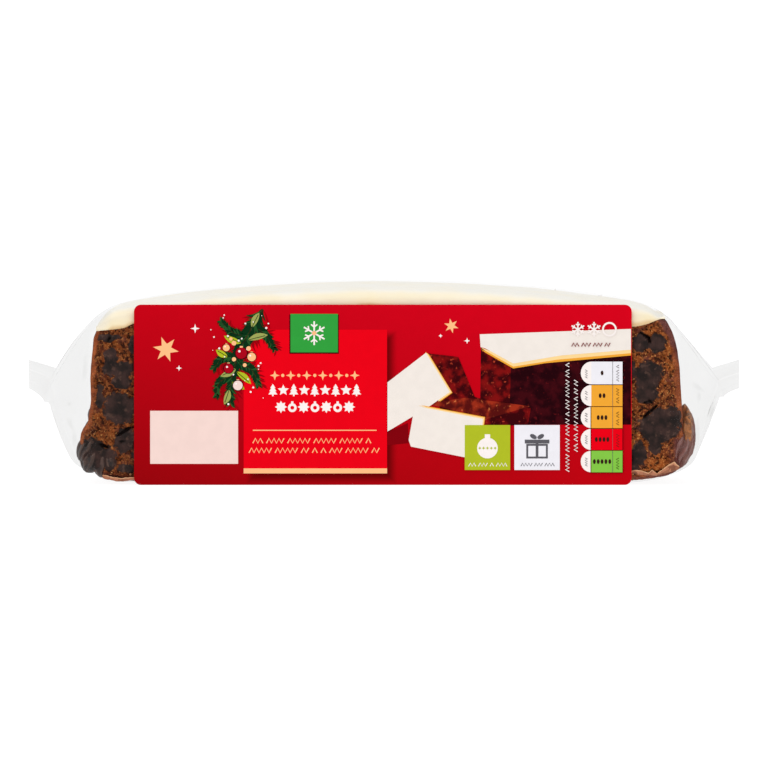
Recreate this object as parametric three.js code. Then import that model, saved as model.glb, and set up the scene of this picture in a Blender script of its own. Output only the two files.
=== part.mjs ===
// An iced fruit cake bar, sealed in a clear film bag with a printed label on its front.
// Millimetres, +Z up, +X along the bar, -Y towards the front label. The origin is at the middle of the base.
import * as THREE from "three";

// ---- Driving dimensions ----
const PACK_LENGTH = 189; // over the furthest corners of both end seals
const BAG_WIDTH = 54; // front to back, over the cake
const BAG_HEIGHT = 52.7; // base to the crown, midway along
const SEAL_WIDTH = 98; // front to back, along an end seal: half of the film's way round the cake
const SEAL_LENGTH = 6.7; // along the bar, from an end seal's root to its cut edge, at its longest
const LABEL_LENGTH = 129.4;
const LABEL_HEIGHT = 46.9;

// ---- The bag's form over the cake ----
const RIM_AT_BASE = 81.5; // half the bar's length at the foot, where the cake flares out
const LEFT_RIM_AT_TOP = 76.2; // from the bar's middle to the left end of its icing
const RIGHT_RIM_AT_TOP = 75; // and to the right end
const CROWN_DROP = 6.5; // how far the crown falls evenly from the middle to an end
const SHOULDER_DROP = 3.8; // how much further it falls, in the last few centimetres
const SHOULDER_POWER = 14;
const CAMBER = 1.4; // how far the crown falls from its middle line to the long edges, midway along
const END_CAMBER = 0.2; // the same at the ends
const CAMBER_EASES_AT = 0.7; // share of the way to an end from which one gives way to the other
const TOP_RADIUS = 2.4;
const BASE_RADIUS = 4.5;
const BASE_FLAT_HALF = 45; // the base is flat to here, and lifts beyond it
const BASE_LIFT = 5.4; // at the rim
const BASE_LIFT_POWER = 4.2;

// How far the film swells above and below the straight way from a rim to a seal's root, half way along it.
const LEFT_SWELL = { above: 1.35, below: 2.1 };
const RIGHT_SWELL = { above: 0.3, below: 0.7 };

// ---- The end seals ----
const SEAL_THICKNESS = 0.8;
const BACK_RISE = 2; // of a seal's back corner, from root to cut edge
const CURL_POWER = 0.6; // below 1, a seal's front corner rises the most next to its root
// Height of a root's middle above the base, how far its front corner hangs below that and its back corner
// stands above it, and how much the front corner rises from root to cut edge.
const LEFT_SEAL = { height: 25.2, roll: 2.85, frontRise: 3.6 };
const RIGHT_SEAL = { height: 25.9, roll: 2.2, frontRise: 2.25 };
const SEAL_SKEW = 2.8; // how much shorter the seal is at its front corner, where the cut runs askew
const SEAL_WAVE = 0.7; // of the film's ripple along the seal
const SEAL_WAVES = 2.5; // ripples from front to back
const FOLD_DEPTH = 1.1; // of the gathers that run from the seal towards the cake
const FOLDS = 7; // gathers from front to back

// ---- The label ----
const LABEL_THICKNESS = 0.4;
const LABEL_CORNER = 1.8;
const LABEL_GAP = 0.3; // kept between the label and the bag
const LABEL_SHIFT = -0.3; // of the label's middle, along the bar

// ---- How finely the surfaces are divided ----
const SIDE_STEPS = 4; // from the middle of a side to a corner
const CORNER_STEPS = 5;
const RUN_STEPS = 14; // across the crown, and across the base
const BODY_STEPS = 30; // from rim to rim
const CROWDING = 0.6; // of those steps towards the rims, where the bag bends most: 0 spaces them evenly
const TAPER_STEPS = 7; // from a rim to a seal's root
const SEAL_STEPS = 4; // from a seal's root to its cut edge

const HALF_WIDTH = BAG_WIDTH / 2;
const SEAL_ROOT = PACK_LENGTH / 2 - SEAL_LENGTH;

// Half the bar's length at the icing, at its left or its right end.
function topRim(x) {
  return x < 0 ? LEFT_RIM_AT_TOP : RIGHT_RIM_AT_TOP;
}

// Height of the crown's middle line at a place x along the bar.
function crownHeight(x) {
  const share = Math.abs(x) / topRim(x);
  return BAG_HEIGHT - CROWN_DROP * share ** 2 - SHOULDER_DROP * share ** SHOULDER_POWER;
}

// How far the crown falls at x from its middle line to the front and back edges.
function camber(x) {
  const share = THREE.MathUtils.smoothstep(Math.abs(x) / topRim(x), CAMBER_EASES_AT, 1);
  return THREE.MathUtils.lerp(CAMBER, END_CAMBER, share);
}

// Height of the base at a place x along the bar.
function baseHeight(x) {
  const share = Math.max(0, Math.abs(x) - BASE_FLAT_HALF) / (RIM_AT_BASE - BASE_FLAT_HALF);
  return BASE_LIFT * share ** BASE_LIFT_POWER;
}

// One half of the bag's section, from the middle of its front side to the middle of its back side,
// over the crown (up = 1) or under the base (up = -1), as a list of [y, z].
// along runs from -1 at one rim to 1 at the other.
function halfSection(along, up) {
  const x = along * topRim(along);
  const crown = crownHeight(x);
  const base = baseHeight(along * RIM_AT_BASE);
  const middle = (crown + base) / 2;
  const bow = up > 0 ? camber(x) : 0;
  const edge = up > 0 ? crown - bow : base;
  const radius = up > 0 ? TOP_RADIUS : BASE_RADIUS;
  const inner = HALF_WIDTH - radius;
  const front = [];
  for (let i = 0; i < SIDE_STEPS; i++)
    front.push([-HALF_WIDTH, THREE.MathUtils.lerp(middle, edge - up * radius, i / SIDE_STEPS)]);
  for (let i = 0; i < CORNER_STEPS; i++) {
    const turn = (i / CORNER_STEPS) * (Math.PI / 2);
    front.push([-inner - radius * Math.cos(turn), edge - up * radius * (1 - Math.sin(turn))]);
  }
  const run = [];
  for (let i = 0; i <= RUN_STEPS; i++) {
    const y = THREE.MathUtils.lerp(-inner, inner, i / RUN_STEPS);
    run.push([y, edge + bow * (1 - (y / inner) ** 2)]);
  }
  const back = front.map(([y, z]) => [-y, z]).reverse();
  return [...front, ...run, ...back];
}

// How far along a half section each of its points lies, from 0 to 1.
function lengthShares(points) {
  const lengths = [0];
  for (let i = 1; i < points.length; i++) {
    const [dy, dz] = [points[i][0] - points[i - 1][0], points[i][1] - points[i - 1][1]];
    lengths.push(lengths[i - 1] + Math.hypot(dy, dz));
  }
  return lengths.map((l) => l / lengths[lengths.length - 1]);
}

// Half the bar's length at height z, on the side that along lies: the foot reaches further than the icing.
function rimAt(along, z) {
  const top = topRim(along);
  const share = THREE.MathUtils.clamp(z / crownHeight(along < 0 ? -top : top), 0, 1);
  return THREE.MathUtils.lerp(RIM_AT_BASE, top, share);
}

// A ring of points over the cake.
function bodyRing(along) {
  const place = ([y, z]) => new THREE.Vector3(along * rimAt(along, z), y, z);
  return { top: halfSection(along, 1).map(place), base: halfSection(along, -1).map(place) };
}

// The share of the seal's width at which each point of a ring is pressed flat: the same above and below.
const FLAT_SHARES = (() => {
  const [above, below] = [1, -1].map((up) => lengthShares(halfSection(1, up)));
  return above.map((share, i) => (share + below[i]) / 2);
})();

// A point of the end seal. out is 0 at its root and 1 at its cut edge, and up tells its two faces apart.
function sealPoint(end, index, out, up) {
  const share = FLAT_SHARES[index];
  const across = 2 * share - 1;
  const ripple = SEAL_WAVE * Math.sin(SEAL_WAVES * 2 * Math.PI * share + end) * Math.sin(Math.PI * share);
  const length = SEAL_LENGTH - SEAL_SKEW * (1 - share);
  const seal = end < 0 ? LEFT_SEAL : RIGHT_SEAL;
  const rise = THREE.MathUtils.lerp(seal.frontRise * out ** CURL_POWER, BACK_RISE * out, share);
  const middle = seal.height + seal.roll * across + rise + ripple;
  const onEdge = index === 0 || index === FLAT_SHARES.length - 1;
  return new THREE.Vector3(
    end * (SEAL_ROOT + length * out),
    (across * SEAL_WIDTH) / 2,
    middle + (onEdge ? 0 : (up * SEAL_THICKNESS) / 2),
  );
}

// A ring of the taper between the rim (t = 0) and the seal's root (t = 1), with its gathers.
function taperRing(end, t) {
  const rim = bodyRing(end);
  const halfway = Math.sin(Math.PI * t);
  const swell = end < 0 ? LEFT_SWELL : RIGHT_SWELL;
  const draw = (points, up) =>
    points.map((point, i) => {
      const inwards = Math.abs(Math.sin(Math.PI * FLAT_SHARES[i]));
      const gather = FOLD_DEPTH * Math.cos(2 * Math.PI * FOLDS * FLAT_SHARES[i]) * inwards * t;
      const lift = (up > 0 ? swell.above : swell.below) * Math.sqrt(inwards);
      const stands = up * halfway * (gather + lift);
      return point.lerp(sealPoint(end, i, 0, up), t).add(new THREE.Vector3(0, 0, stands));
    });
  return { top: draw(rim.top, 1), base: draw(rim.base, -1) };
}

function sealRing(end, out) {
  const face = (up) => FLAT_SHARES.map((_, i) => sealPoint(end, i, out, up));
  return { top: face(1), base: face(-1) };
}

// Every ring from the left cut edge to the right one.
function bagRings() {
  const tip = (end) => [
    ...Array.from({ length: SEAL_STEPS }, (_, i) => sealRing(end, 1 - i / SEAL_STEPS)),
    ...Array.from({ length: TAPER_STEPS }, (_, i) => taperRing(end, 1 - i / TAPER_STEPS)),
  ];
  const body = Array.from({ length: BODY_STEPS + 1 }, (_, i) => {
    const even = (2 * i) / BODY_STEPS - 1;
    return bodyRing(THREE.MathUtils.lerp(even, Math.sin((even * Math.PI) / 2), CROWDING));
  });
  return [...tip(-1), ...body, ...tip(1).reverse()];
}

// The closed surface through the rings. Each ring's two halves share their first and last points.
function bagGeometry() {
  const rings = bagRings();
  const half = rings[0].top.length;
  const around = 2 * (half - 1);
  const points = rings.flatMap(({ top, base }) => [...top, ...base.slice(1, -1).reverse()]);
  const at = (ring, i) => ring * around + (i % around);
  const faces = [];
  for (let ring = 0; ring < rings.length - 1; ring++)
    for (let i = 0; i < around; i++) {
      faces.push(at(ring, i), at(ring + 1, i), at(ring + 1, i + 1));
      faces.push(at(ring, i), at(ring + 1, i + 1), at(ring, i + 1));
    }
  // The cut edges: a strip between the two faces of each seal, from front to back.
  const closeTip = (ring, outward) => {
    for (let i = 0; i < half - 1; i++) {
      const [a, b, c, d] = [at(ring, i), at(ring, i + 1), at(ring, around - i - 1), at(ring, around - i)];
      const strip = [
        [a, b, c],
        [a, c, d],
      ].filter((face) => new Set(face).size === 3);
      strip.forEach((face) => faces.push(...(outward ? face : [...face].reverse())));
    }
  };
  closeTip(0, true);
  closeTip(rings.length - 1, false);
  const geometry = new THREE.BufferGeometry();
  const positions = points.flatMap((point) => point.toArray());
  geometry.setAttribute("position", new THREE.Float32BufferAttribute(positions, 3));
  geometry.setIndex(faces);
  geometry.computeVertexNormals();
  return geometry;
}

// A rectangle with round corners, drawn about its own middle.
function roundedRectangle(width, height, radius) {
  const [x, y] = [width / 2 - radius, height / 2 - radius];
  const shape = new THREE.Shape();
  shape.absarc(x, y, radius, 0, Math.PI / 2);
  shape.absarc(-x, y, radius, Math.PI / 2, Math.PI);
  shape.absarc(-x, -y, radius, Math.PI, 1.5 * Math.PI);
  shape.absarc(x, -y, radius, 1.5 * Math.PI, 2 * Math.PI);
  shape.closePath();
  return shape;
}

function filmBag() {
  const film = new THREE.MeshStandardMaterial({ color: 0xeeeeea, roughness: 0.15, metalness: 0 });
  const bag = new THREE.Mesh(bagGeometry(), film);
  bag.name = "film_bag";
  return bag;
}

// The label's lower edge is level with the base.
function frontLabel() {
  const print = new THREE.MeshStandardMaterial({ color: 0xc40016, roughness: 0.4, metalness: 0 });
  const outline = roundedRectangle(LABEL_LENGTH, LABEL_HEIGHT, LABEL_CORNER);
  const sheet = { depth: LABEL_THICKNESS, bevelEnabled: false, curveSegments: CORNER_STEPS };
  const geometry = new THREE.ExtrudeGeometry(outline, sheet);
  const label = new THREE.Mesh(geometry, print);
  label.name = "front_label";
  label.rotation.x = Math.PI / 2;
  label.position.set(LABEL_SHIFT, -HALF_WIDTH - LABEL_GAP, LABEL_HEIGHT / 2);
  return label;
}

const pack = new THREE.Group();
pack.add(filmBag(), frontLabel());

export default pack;
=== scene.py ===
# The looks of an iced fruit cake bar, sealed in a clear film bag with a printed label on its front.
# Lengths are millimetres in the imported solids' own frame, and go to metres as each mesh is made.
import math
import random

import bmesh
import bpy
import mathutils.geometry
import numpy as np
from mathutils import Matrix, Vector, noise


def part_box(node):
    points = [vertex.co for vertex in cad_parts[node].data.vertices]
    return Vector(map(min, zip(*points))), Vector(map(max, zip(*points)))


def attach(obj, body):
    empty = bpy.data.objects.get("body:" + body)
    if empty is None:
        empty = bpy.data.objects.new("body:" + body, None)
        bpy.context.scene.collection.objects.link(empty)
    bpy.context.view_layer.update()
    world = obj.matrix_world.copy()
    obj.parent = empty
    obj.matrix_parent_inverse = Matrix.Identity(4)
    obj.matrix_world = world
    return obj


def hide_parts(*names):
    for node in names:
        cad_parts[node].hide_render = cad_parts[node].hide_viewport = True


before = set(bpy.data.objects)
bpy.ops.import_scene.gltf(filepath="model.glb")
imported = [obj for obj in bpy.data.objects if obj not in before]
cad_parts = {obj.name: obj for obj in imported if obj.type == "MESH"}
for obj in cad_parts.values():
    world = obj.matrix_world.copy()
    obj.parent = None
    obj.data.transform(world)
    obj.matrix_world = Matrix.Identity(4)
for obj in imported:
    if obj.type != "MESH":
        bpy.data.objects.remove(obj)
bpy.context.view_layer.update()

MM = 0.001
BAG_LOW, BAG_HIGH = (Vector(corner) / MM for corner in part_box("film_bag"))
LABEL_LOW, LABEL_HIGH = (Vector(corner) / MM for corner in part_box("front_label"))

# ---- The bag, as the solids have it ----
HALF_PACK = BAG_HIGH.x
BAG_HEIGHT = BAG_HIGH.z
SEAL_WIDTH = BAG_HIGH.y - BAG_LOW.y
HALF_WIDTH = 27.25  # the film lies against the back of the label
RIM_AT_BASE = 81.5
RIM_AT_TOP = {-1: 76.2, 1: 75.0}  # at the left and at the right end
CROWN_DROP = 6.5
SHOULDER_DROP = 3.8
SHOULDER_POWER = 14
CAMBER = 1.4  # midway along
END_CAMBER = 0.2
TOP_RADIUS = 2.4
BASE_RADIUS = 4.5
BASE_FLAT_HALF = 45
BASE_LIFT = 5.4
BASE_LIFT_POWER = 4.2
SWELL = {(-1, 1): 1.35, (-1, -1): 2.1, (1, 1): 0.3, (1, -1): 0.7}  # by end, above and below its seal
SEAL_LENGTH = 6.7
SEALS = {
    -1: {"height": 25.2, "roll": 2.85, "front_rise": 3.6},
    1: {"height": 25.9, "roll": 2.2, "front_rise": 2.25},
}
BACK_RISE = 2.0
CURL_POWER = 0.6
SEAL_SKEW = 2.8
SEAL_WAVES = 2.5
SEAL_ROOT = HALF_PACK - SEAL_LENGTH

# ---- The film's own detail ----
SEAL_WAVE = 0.45  # the height of the seals' ripple, a little shallower than in the solids
FILM_THICKNESS = 0.12  # of the two films pressed together in a seal
FIN_THICKNESS = 0.28  # the long seam's fin, folded flat under the base
FIN_WIDTH = 11
HELD_FLAT = 66  # up to here, along the bar, the label holds the film flat at the front
FREE_FROM = 74.5  # beyond this the film stands clear of the cake
FREE_SOONER = 4.5  # and this much sooner over the icing
CROWN_STARTS = (39, 43)  # the heights between which the film begins to count as over the icing
FILM_INDEX = 1.4  # how strongly the film bends light, for its mirrors
CRIMP_DEPTH = 0.035
CRIMP_ROWS = 5
CREASE_DEPTH = 0.22
FOLDS_PER_FACE = 15
FOLDED_REACH = 22  # the folds die out this far from a seal's root
BODY_RINGS = 110
TAPER_RINGS = 30
SEAL_RINGS = 30
SIDE_STEPS, CORNER_STEPS, ACROSS_STEPS = 26, 9, 58  # in half of a ring: up the side, round the edge, across

# ---- The cake inside ----
CAKE_HALF_DEPTH = 26.5
CAKE_HALF_LENGTH = 76.0
CRUMB_HEIGHT = 44.0  # of the crumb's grid, before it takes the cake's own top and base
CAKE_MIDDLE_TOP = 45.5  # where cake meets icing, midway along
CAKE_TOP_DROP = 3.8  # from there to TOP_DROP_AT along the bar
TOP_DROP_AT = 65
CAKE_CLEARANCE = 0.55  # between the cake's foot and the film
ICING_GAP = 0.55  # between icing and film
ICING_REACH = {-1: 74.8, 1: 73.2}  # how far along the bar the icing goes
ICING_END_DROP = {-1: 1.6, 1: 1.1}  # how much thinner the icing is at its very ends
ICING_GRID = np.array([75.0, 26.75, 2.5])  # half sizes of the icing's grid
ICING_EDGES = (0.3, 2.3)  # how round its lower and its upper edges are
FRUIT_SPACING = 8.2
END_FINE = 62  # the crumb is modelled more finely beyond this, where the label ends

LIGHT_LEVEL = 1.08  # how much light the stage throws on the pack's front: 1 shows a paint as it is


# ================ Shared helpers ================


def linear(red, green, blue):
    """The paint that looks like this colour, given as 0 to 255 on a screen, in the stage's light."""
    share = np.array([red, green, blue]) / 255
    light = np.where(share > 0.04045, ((share + 0.055) / 1.055) ** 2.4, share / 12.92)
    return (*(light / LIGHT_LEVEL).tolist(), 1.0)


def smoothstep(value, low, high):
    """0 up to low and 1 from high on, with a smooth rise between them."""
    share = np.clip((np.asarray(value, float) - low) / (high - low), 0, 1)
    return share * share * (3 - 2 * share)


def by_end(x, values):
    """The left end's value or the right end's, by the side that x lies on."""
    return np.where(np.asarray(x) < 0, values[-1], values[1])


def noise_at(points, size, octaves, seed):
    """Fractal noise, about -1 to 1, whose lumps are about size millimetres across."""
    shift = Vector((seed * 17.3, seed * 5.1, seed * 9.7))
    if octaves == 1:
        return np.array([noise.noise(Vector(p) / size + shift) for p in points])
    return np.array([noise.fractal(Vector(p) / size + shift, 0.9, 2.1, octaves) for p in points])


def beside_line(points, start, end):
    """How far along a line each point lies, 0 to 1, and how far from it, both as seen from the front."""
    run = np.subtract(end, start)
    away = points[:, [0, 2]] - start
    share = np.clip(away @ run / (run @ run), 0, 1)
    return share, np.linalg.norm(away - share[:, None] * run, axis=1)


def grid_quads(ids):
    """The quads between the rows and columns of a grid of point numbers."""
    return np.stack([ids[:-1, :-1], ids[1:, :-1], ids[1:, 1:], ids[:-1, 1:]], -1).reshape(-1, 4)


def ball(detail):
    """Points and faces of a round ball of radius 1."""
    shell = bmesh.new()
    bmesh.ops.create_icosphere(shell, subdivisions=detail, radius=1)
    points = np.array([v.co[:] for v in shell.verts])
    faces = np.array([[v.index for v in f.verts] for f in shell.faces])
    shell.free()
    return points, faces


def box_grid(xs, ys, zs):
    """Points and outward quads over the six sides of a box that is divided at xs, ys and zs."""
    values = [np.asarray(v, float) for v in (xs, ys, zs)]
    sizes = [len(v) for v in values]
    index = np.indices(sizes)
    outer = np.zeros(sizes, bool)
    for axis in range(3):
        outer |= (index[axis] == 0) | (index[axis] == sizes[axis] - 1)
    ids = np.full(sizes, -1)
    ids[outer] = np.arange(outer.sum())
    points = np.stack([v[i[outer]] for v, i in zip(values, index)], axis=1)
    quads = []
    for axis in range(3):
        for end in (0, -1):
            loop = grid_quads(np.take(ids, end, axis=axis))
            inward = (end == 0) != (axis == 1)
            quads.append(loop[:, ::-1] if inward else loop)
    return points, np.concatenate(quads)


def round_box(points, half, radius):
    """Rounds the edges of a box, given its half sizes. The radius may differ from point to point."""
    radius = np.broadcast_to(np.asarray(radius, float), len(points))[:, None]
    core = np.clip(points, -(half - radius), half - radius)
    out = points - core
    length = np.maximum(np.linalg.norm(out, axis=1, keepdims=True), 1e-9)
    return core + out / length * radius


def mesh_piece(name, points, faces, material, smooth=True):
    """An object of points in millimetres."""
    mesh = bpy.data.meshes.new(name)
    faces = faces.tolist() if isinstance(faces, np.ndarray) else faces
    mesh.from_pydata((np.asarray(points, float) * MM).tolist(), [], faces)
    if smooth:
        mesh.shade_smooth()
    mesh.materials.append(material)
    piece = bpy.data.objects.new(name, mesh)
    bpy.context.collection.objects.link(piece)
    return piece


def point_normals(piece):
    """The direction in which a piece's surface faces at each of its points."""
    normals = np.empty(len(piece.data.vertices) * 3)
    piece.data.vertices.foreach_get("normal", normals)
    return normals.reshape(-1, 3)


def move_points(piece, points):
    """Sets a piece's points down at new places, in millimetres."""
    piece.data.vertices.foreach_set("co", (np.asarray(points) * MM).ravel())
    piece.data.update()


def store(piece, **marks):
    """Keeps numbers for each point of a piece, by name, for its material to read."""
    for name, values in marks.items():
        attribute = piece.data.attributes.new(name, "FLOAT", "POINT")
        attribute.data.foreach_set("value", np.asarray(values, np.float32))


def inside_bag(piece):
    """A piece that the sealed bag's solid stands for."""
    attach(piece, "root")
    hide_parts("film_bag")


# ================ Materials ================


def add(tree, kind, inputs=None, **settings):
    """Adds a shader node. An input takes a plain value or another node's output."""
    made = tree.nodes.new("ShaderNode" + kind)
    for key, value in settings.items():
        setattr(made, key, value)
    for key, value in (inputs or {}).items():
        if isinstance(value, bpy.types.NodeSocket):
            tree.links.new(value, made.inputs[key])
        else:
            made.inputs[key].default_value = value
    return made


def maths(tree, operation, first, second=0.0, clamp=False):
    """The result of a sum on two numbers."""
    return add(tree, "Math", {0: first, 1: second}, operation=operation, use_clamp=clamp).outputs[0]


def times(tree, value, factor):
    """A number multiplied by another."""
    return maths(tree, "MULTIPLY", value, factor)


def stepped(tree, value, low, high, start=0.0, end=1.0):
    """value eased from start to end as it goes from low to high."""
    inputs = {"Value": value, "From Min": low, "From Max": high, "To Min": start, "To Max": end}
    return add(tree, "MapRange", inputs, interpolation_type="SMOOTHSTEP").outputs["Result"]


def blend(tree, share, first, second):
    """A colour between two others."""
    return add(tree, "Mix", {0: share, 6: first, 7: second}, data_type="RGBA").outputs[2]


def tinted(tree, colour, *tints):
    """A colour with others laid over it in turn, each given as its share and its screen colour."""
    for share, tint in tints:
        colour = blend(tree, share, colour, linear(*tint))
    return colour


def stored(tree, name):
    """The number that store() has kept for each point of the piece."""
    return add(tree, "Attribute", attribute_name=name).outputs["Fac"]


def shader_group(name, inputs, outputs, build):
    """A node group of float sockets. build gets its tree and its inputs, and gives its outputs in order."""
    tree = bpy.data.node_groups.new(name, "ShaderNodeTree")
    kind = "NodeSocketFloat"
    for label, default in inputs.items():
        tree.interface.new_socket(name=label, in_out="INPUT", socket_type=kind).default_value = default
    for label in outputs:
        tree.interface.new_socket(name=label, in_out="OUTPUT", socket_type=kind)
    enter = tree.nodes.new("NodeGroupInput")
    leave = tree.nodes.new("NodeGroupOutput")
    results = build(tree, {label: enter.outputs[label] for label in inputs})
    for label, result in zip(outputs, results):
        tree.links.new(result, leave.inputs[label])
    return tree


def build_mottle(tree, given):
    """Soft uneven patches: noise of a given size, eased between two levels."""
    place = add(tree, "TexCoord").outputs["Object"]
    cloud = add(tree, "TexNoise", {"Vector": place, "Scale": given["Scale"], "Detail": given["Detail"]})
    return [stepped(tree, cloud.outputs["Fac"], given["Low"], given["High"])]


def build_grain(tree, given):
    """Grains packed side by side, each with a tone of its own, and the height of their relief."""
    place = add(tree, "TexCoord").outputs["Object"]
    bend = add(tree, "TexNoise", {"Vector": place, "Scale": given["Scale"], "Detail": 2.0})
    off = add(tree, "VectorMath", {0: bend.outputs["Color"], "Scale": given["Wander"]}, operation="SCALE")
    bent = add(tree, "VectorMath", {0: place, 1: off.outputs[0]}, operation="ADD").outputs[0]
    grains = add(tree, "TexVoronoi", {"Vector": bent, "Scale": given["Scale"]})
    tone = add(tree, "SeparateColor", {0: grains.outputs["Color"]}).outputs[0]
    return [tone, maths(tree, "SUBTRACT", 1.0, grains.outputs["Distance"])]


MOTTLE_VALUES = {"Scale": 300.0, "Detail": 4.0, "Low": 0.35, "High": 0.65}
MOTTLE = shader_group("mottle", MOTTLE_VALUES, ["Mask"], build_mottle)
GRAIN = shader_group("grain", {"Scale": 900.0, "Wander": 0.0008}, ["Tone", "Height"], build_grain)


def use(tree, group, **values):
    """Places a node group with its own values, and gives its outputs by name."""
    made = tree.nodes.new("ShaderNodeGroup")
    made.node_tree = group
    for key, value in values.items():
        made.inputs[key].default_value = value
    return made.outputs


def mottle(tree, scale, detail, low, high):
    """A mask of soft uneven patches."""
    return use(tree, MOTTLE, Scale=scale, Detail=detail, Low=low, High=high)["Mask"]


def new_material(name, **fixed):
    """A material with a Principled shader whose fixed values are set on its own sockets."""
    material = bpy.data.materials.new(name)
    material.use_nodes = True
    tree = material.node_tree
    shader = next(n for n in tree.nodes if n.type == "BSDF_PRINCIPLED")
    for key, value in fixed.items():
        shader.inputs[key.replace("_", " ")].default_value = value
    return material, tree, shader


def wire(tree, shader, **sources):
    """Feeds node outputs to a shader's inputs."""
    for key, source in sources.items():
        tree.links.new(source, shader.inputs[key.replace("_", " ")])


def raise_relief(tree, shader, height, strength, distance):
    """Feeds a height, in metres at distance, to a shader as relief."""
    bump = add(tree, "Bump", {"Height": height, "Strength": strength, "Distance": distance})
    wire(tree, shader, Normal=bump.outputs["Normal"])


def object_place(tree):
    """Where a point of the surface is, in metres, as the outputs of x, y and z."""
    return add(tree, "SeparateXYZ", {0: add(tree, "TexCoord").outputs["Object"]}).outputs


def crumb_material():
    """Cut fruit cake: orange-brown crumb with dark cut fruit and smooth red-brown crust; painted shade
    darkens its pits, its cracks and its left end, and painted highlights make golden glints.
    """
    material, tree, shader = new_material("cake crumb", IOR=1.45, Specular_IOR_Level=0.12)
    fine = use(tree, GRAIN, Scale=1900.0, Wander=0.0005)
    coarse = use(tree, GRAIN, Scale=820.0, Wander=0.0011)
    pits_and_painted_shade = mottle(tree, 1150, 4, 0.53, 0.64)
    crumb = tinted(
        tree,
        blend(tree, mottle(tree, 150, 3, 0.42, 0.6), linear(99, 45, 24), linear(158, 80, 31)),
        (times(tree, mottle(tree, 230, 4, 0.54, 0.62), 0.65), (112, 60, 52)),  # mauve patches
        (stepped(tree, coarse["Tone"], 0, 1, 0.5, 0), (64, 26, 14)),
        (stepped(tree, fine["Tone"], 0.35, 1, 0, 0.6), (190, 112, 56)),
        # painted shade: the pits darkened as if in shadow
        (times(tree, pits_and_painted_shade, 0.9), (36, 12, 6)),
        # painted highlights: bright golden glints on the crumb
        (times(tree, mottle(tree, 2100, 2, 0.62, 0.7), 0.75), (230, 160, 92)),  # glints
        # painted shade: the crumb darker towards the left end, where less light falls
        (stepped(tree, object_place(tree)[0], -66 * MM, 20 * MM, 0.34, 0), (50, 20, 11)),  # the left end
    )
    tone = mottle(tree, 260, 4, 0.35, 0.7)
    crust = blend(tree, tone, linear(146, 72, 40), linear(196, 108, 60))
    red_brown = blend(tree, tone, linear(104, 56, 52), linear(126, 74, 66))
    crust = blend(tree, stored(tree, "maroon"), crust, red_brown)
    crust = tinted(tree, crust, (stepped(tree, fine["Tone"], 0, 1, 0.35, 0), (70, 34, 24)))
    crumb = blend(tree, stored(tree, "skin"), crumb, crust)
    rough_edge = times(tree, mottle(tree, 900, 4, 0.2, 0.8), 0.4)
    fruit = stepped(tree, maths(tree, "ADD", stored(tree, "fruit"), rough_edge), 0.17, 0.36)
    whole = blend(tree, fruit, crumb, flesh_colour(tree))
    # painted shade: the cracks darkened as if in shadow, over their carved grooves
    whole = tinted(tree, whole, (stepped(tree, stored(tree, "crack"), 0.15, 0.7), (20, 8, 6)))
    wire(tree, shader, Base_Color=whole, Roughness=stepped(tree, fruit, 0, 1, 0.8, 0.42))
    height = maths(tree, "SUBTRACT", fine["Height"], times(tree, pits_and_painted_shade, 1.5))
    raise_relief(tree, shader, times(tree, height, stepped(tree, fruit, 0, 1, 1, 0.1)), 0.8, 0.00022)
    return material


def flesh_colour(tree):
    """Dried fruit: nearly black, browner in patches, with thin pale wrinkles."""
    flesh = blend(tree, mottle(tree, 330, 5, 0.35, 0.68), linear(32, 24, 22), linear(64, 44, 40))
    return tinted(tree, flesh, (times(tree, mottle(tree, 760, 5, 0.56, 0.68), 0.5), (96, 70, 60)))


def fruit_material():
    """Whole dried fruit: dark, wrinkled and slightly sticky, with painted highlights along its ridges."""
    material, tree, shader = new_material("dried fruit", Roughness=0.42, IOR=1.45, Specular_IOR_Level=0.3)
    # painted highlights: the ridges of the wrinkles lighter, as if they catch the light
    ridge = stepped(tree, stored(tree, "ridge"), -0.6, 0.8)
    wire(tree, shader, Base_Color=tinted(tree, flesh_colour(tree), (times(tree, ridge, 0.45), (98, 74, 64))))
    raise_relief(tree, shader, use(tree, GRAIN, Scale=700.0, Wander=0.002)["Height"], 0.25, 0.0003)
    return material


def crust_material():
    """The smooth outer crust of the cake's end, red-brown and faintly creased, with painted highlights along
    its ridges.
    """
    material, tree, shader = new_material("baked crust", Roughness=0.5, IOR=1.45)
    crumb = use(tree, GRAIN, Scale=1000.0, Wander=0.0008)
    smooth = blend(tree, mottle(tree, 190, 5, 0.3, 0.7), linear(104, 60, 54), linear(128, 78, 66))
    # painted highlights: grey-mauve streaks along the crust's ridges
    smooth = tinted(tree, smooth, (stepped(tree, stored(tree, "ridge"), 0.3, 1.2, 0, 0.42), (168, 128, 124)))
    broken = blend(tree, crumb["Tone"], linear(104, 62, 28), linear(190, 116, 58))
    wire(tree, shader, Base_Color=blend(tree, stored(tree, "broken"), smooth, broken))
    raise_relief(tree, shader, crumb["Height"], 0.3, 0.0004)
    return material


def base_skin_material():
    """The thin tan skin that peels from the foot of the cake, with a painted highlight along its upper edge.
    """
    material, tree, shader = new_material("peeling base skin", Roughness=0.6, IOR=1.45)
    tone = mottle(tree, 420, 4, 0.3, 0.7)
    light = blend(tree, tone, linear(204, 142, 98), linear(236, 184, 140))
    patches = use(tree, GRAIN, Scale=900.0, Wander=0.001)["Tone"]
    dark = blend(tree, patches, linear(128, 72, 44), linear(192, 124, 90))
    # painted highlight: the paler colour laid along the skin's upper edge
    wire(tree, shader, Base_Color=blend(tree, stepped(tree, stored(tree, "edge"), 0.6, 1), dark, light))
    raise_relief(tree, shader, tone, 0.3, 0.0003)
    return material


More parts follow.
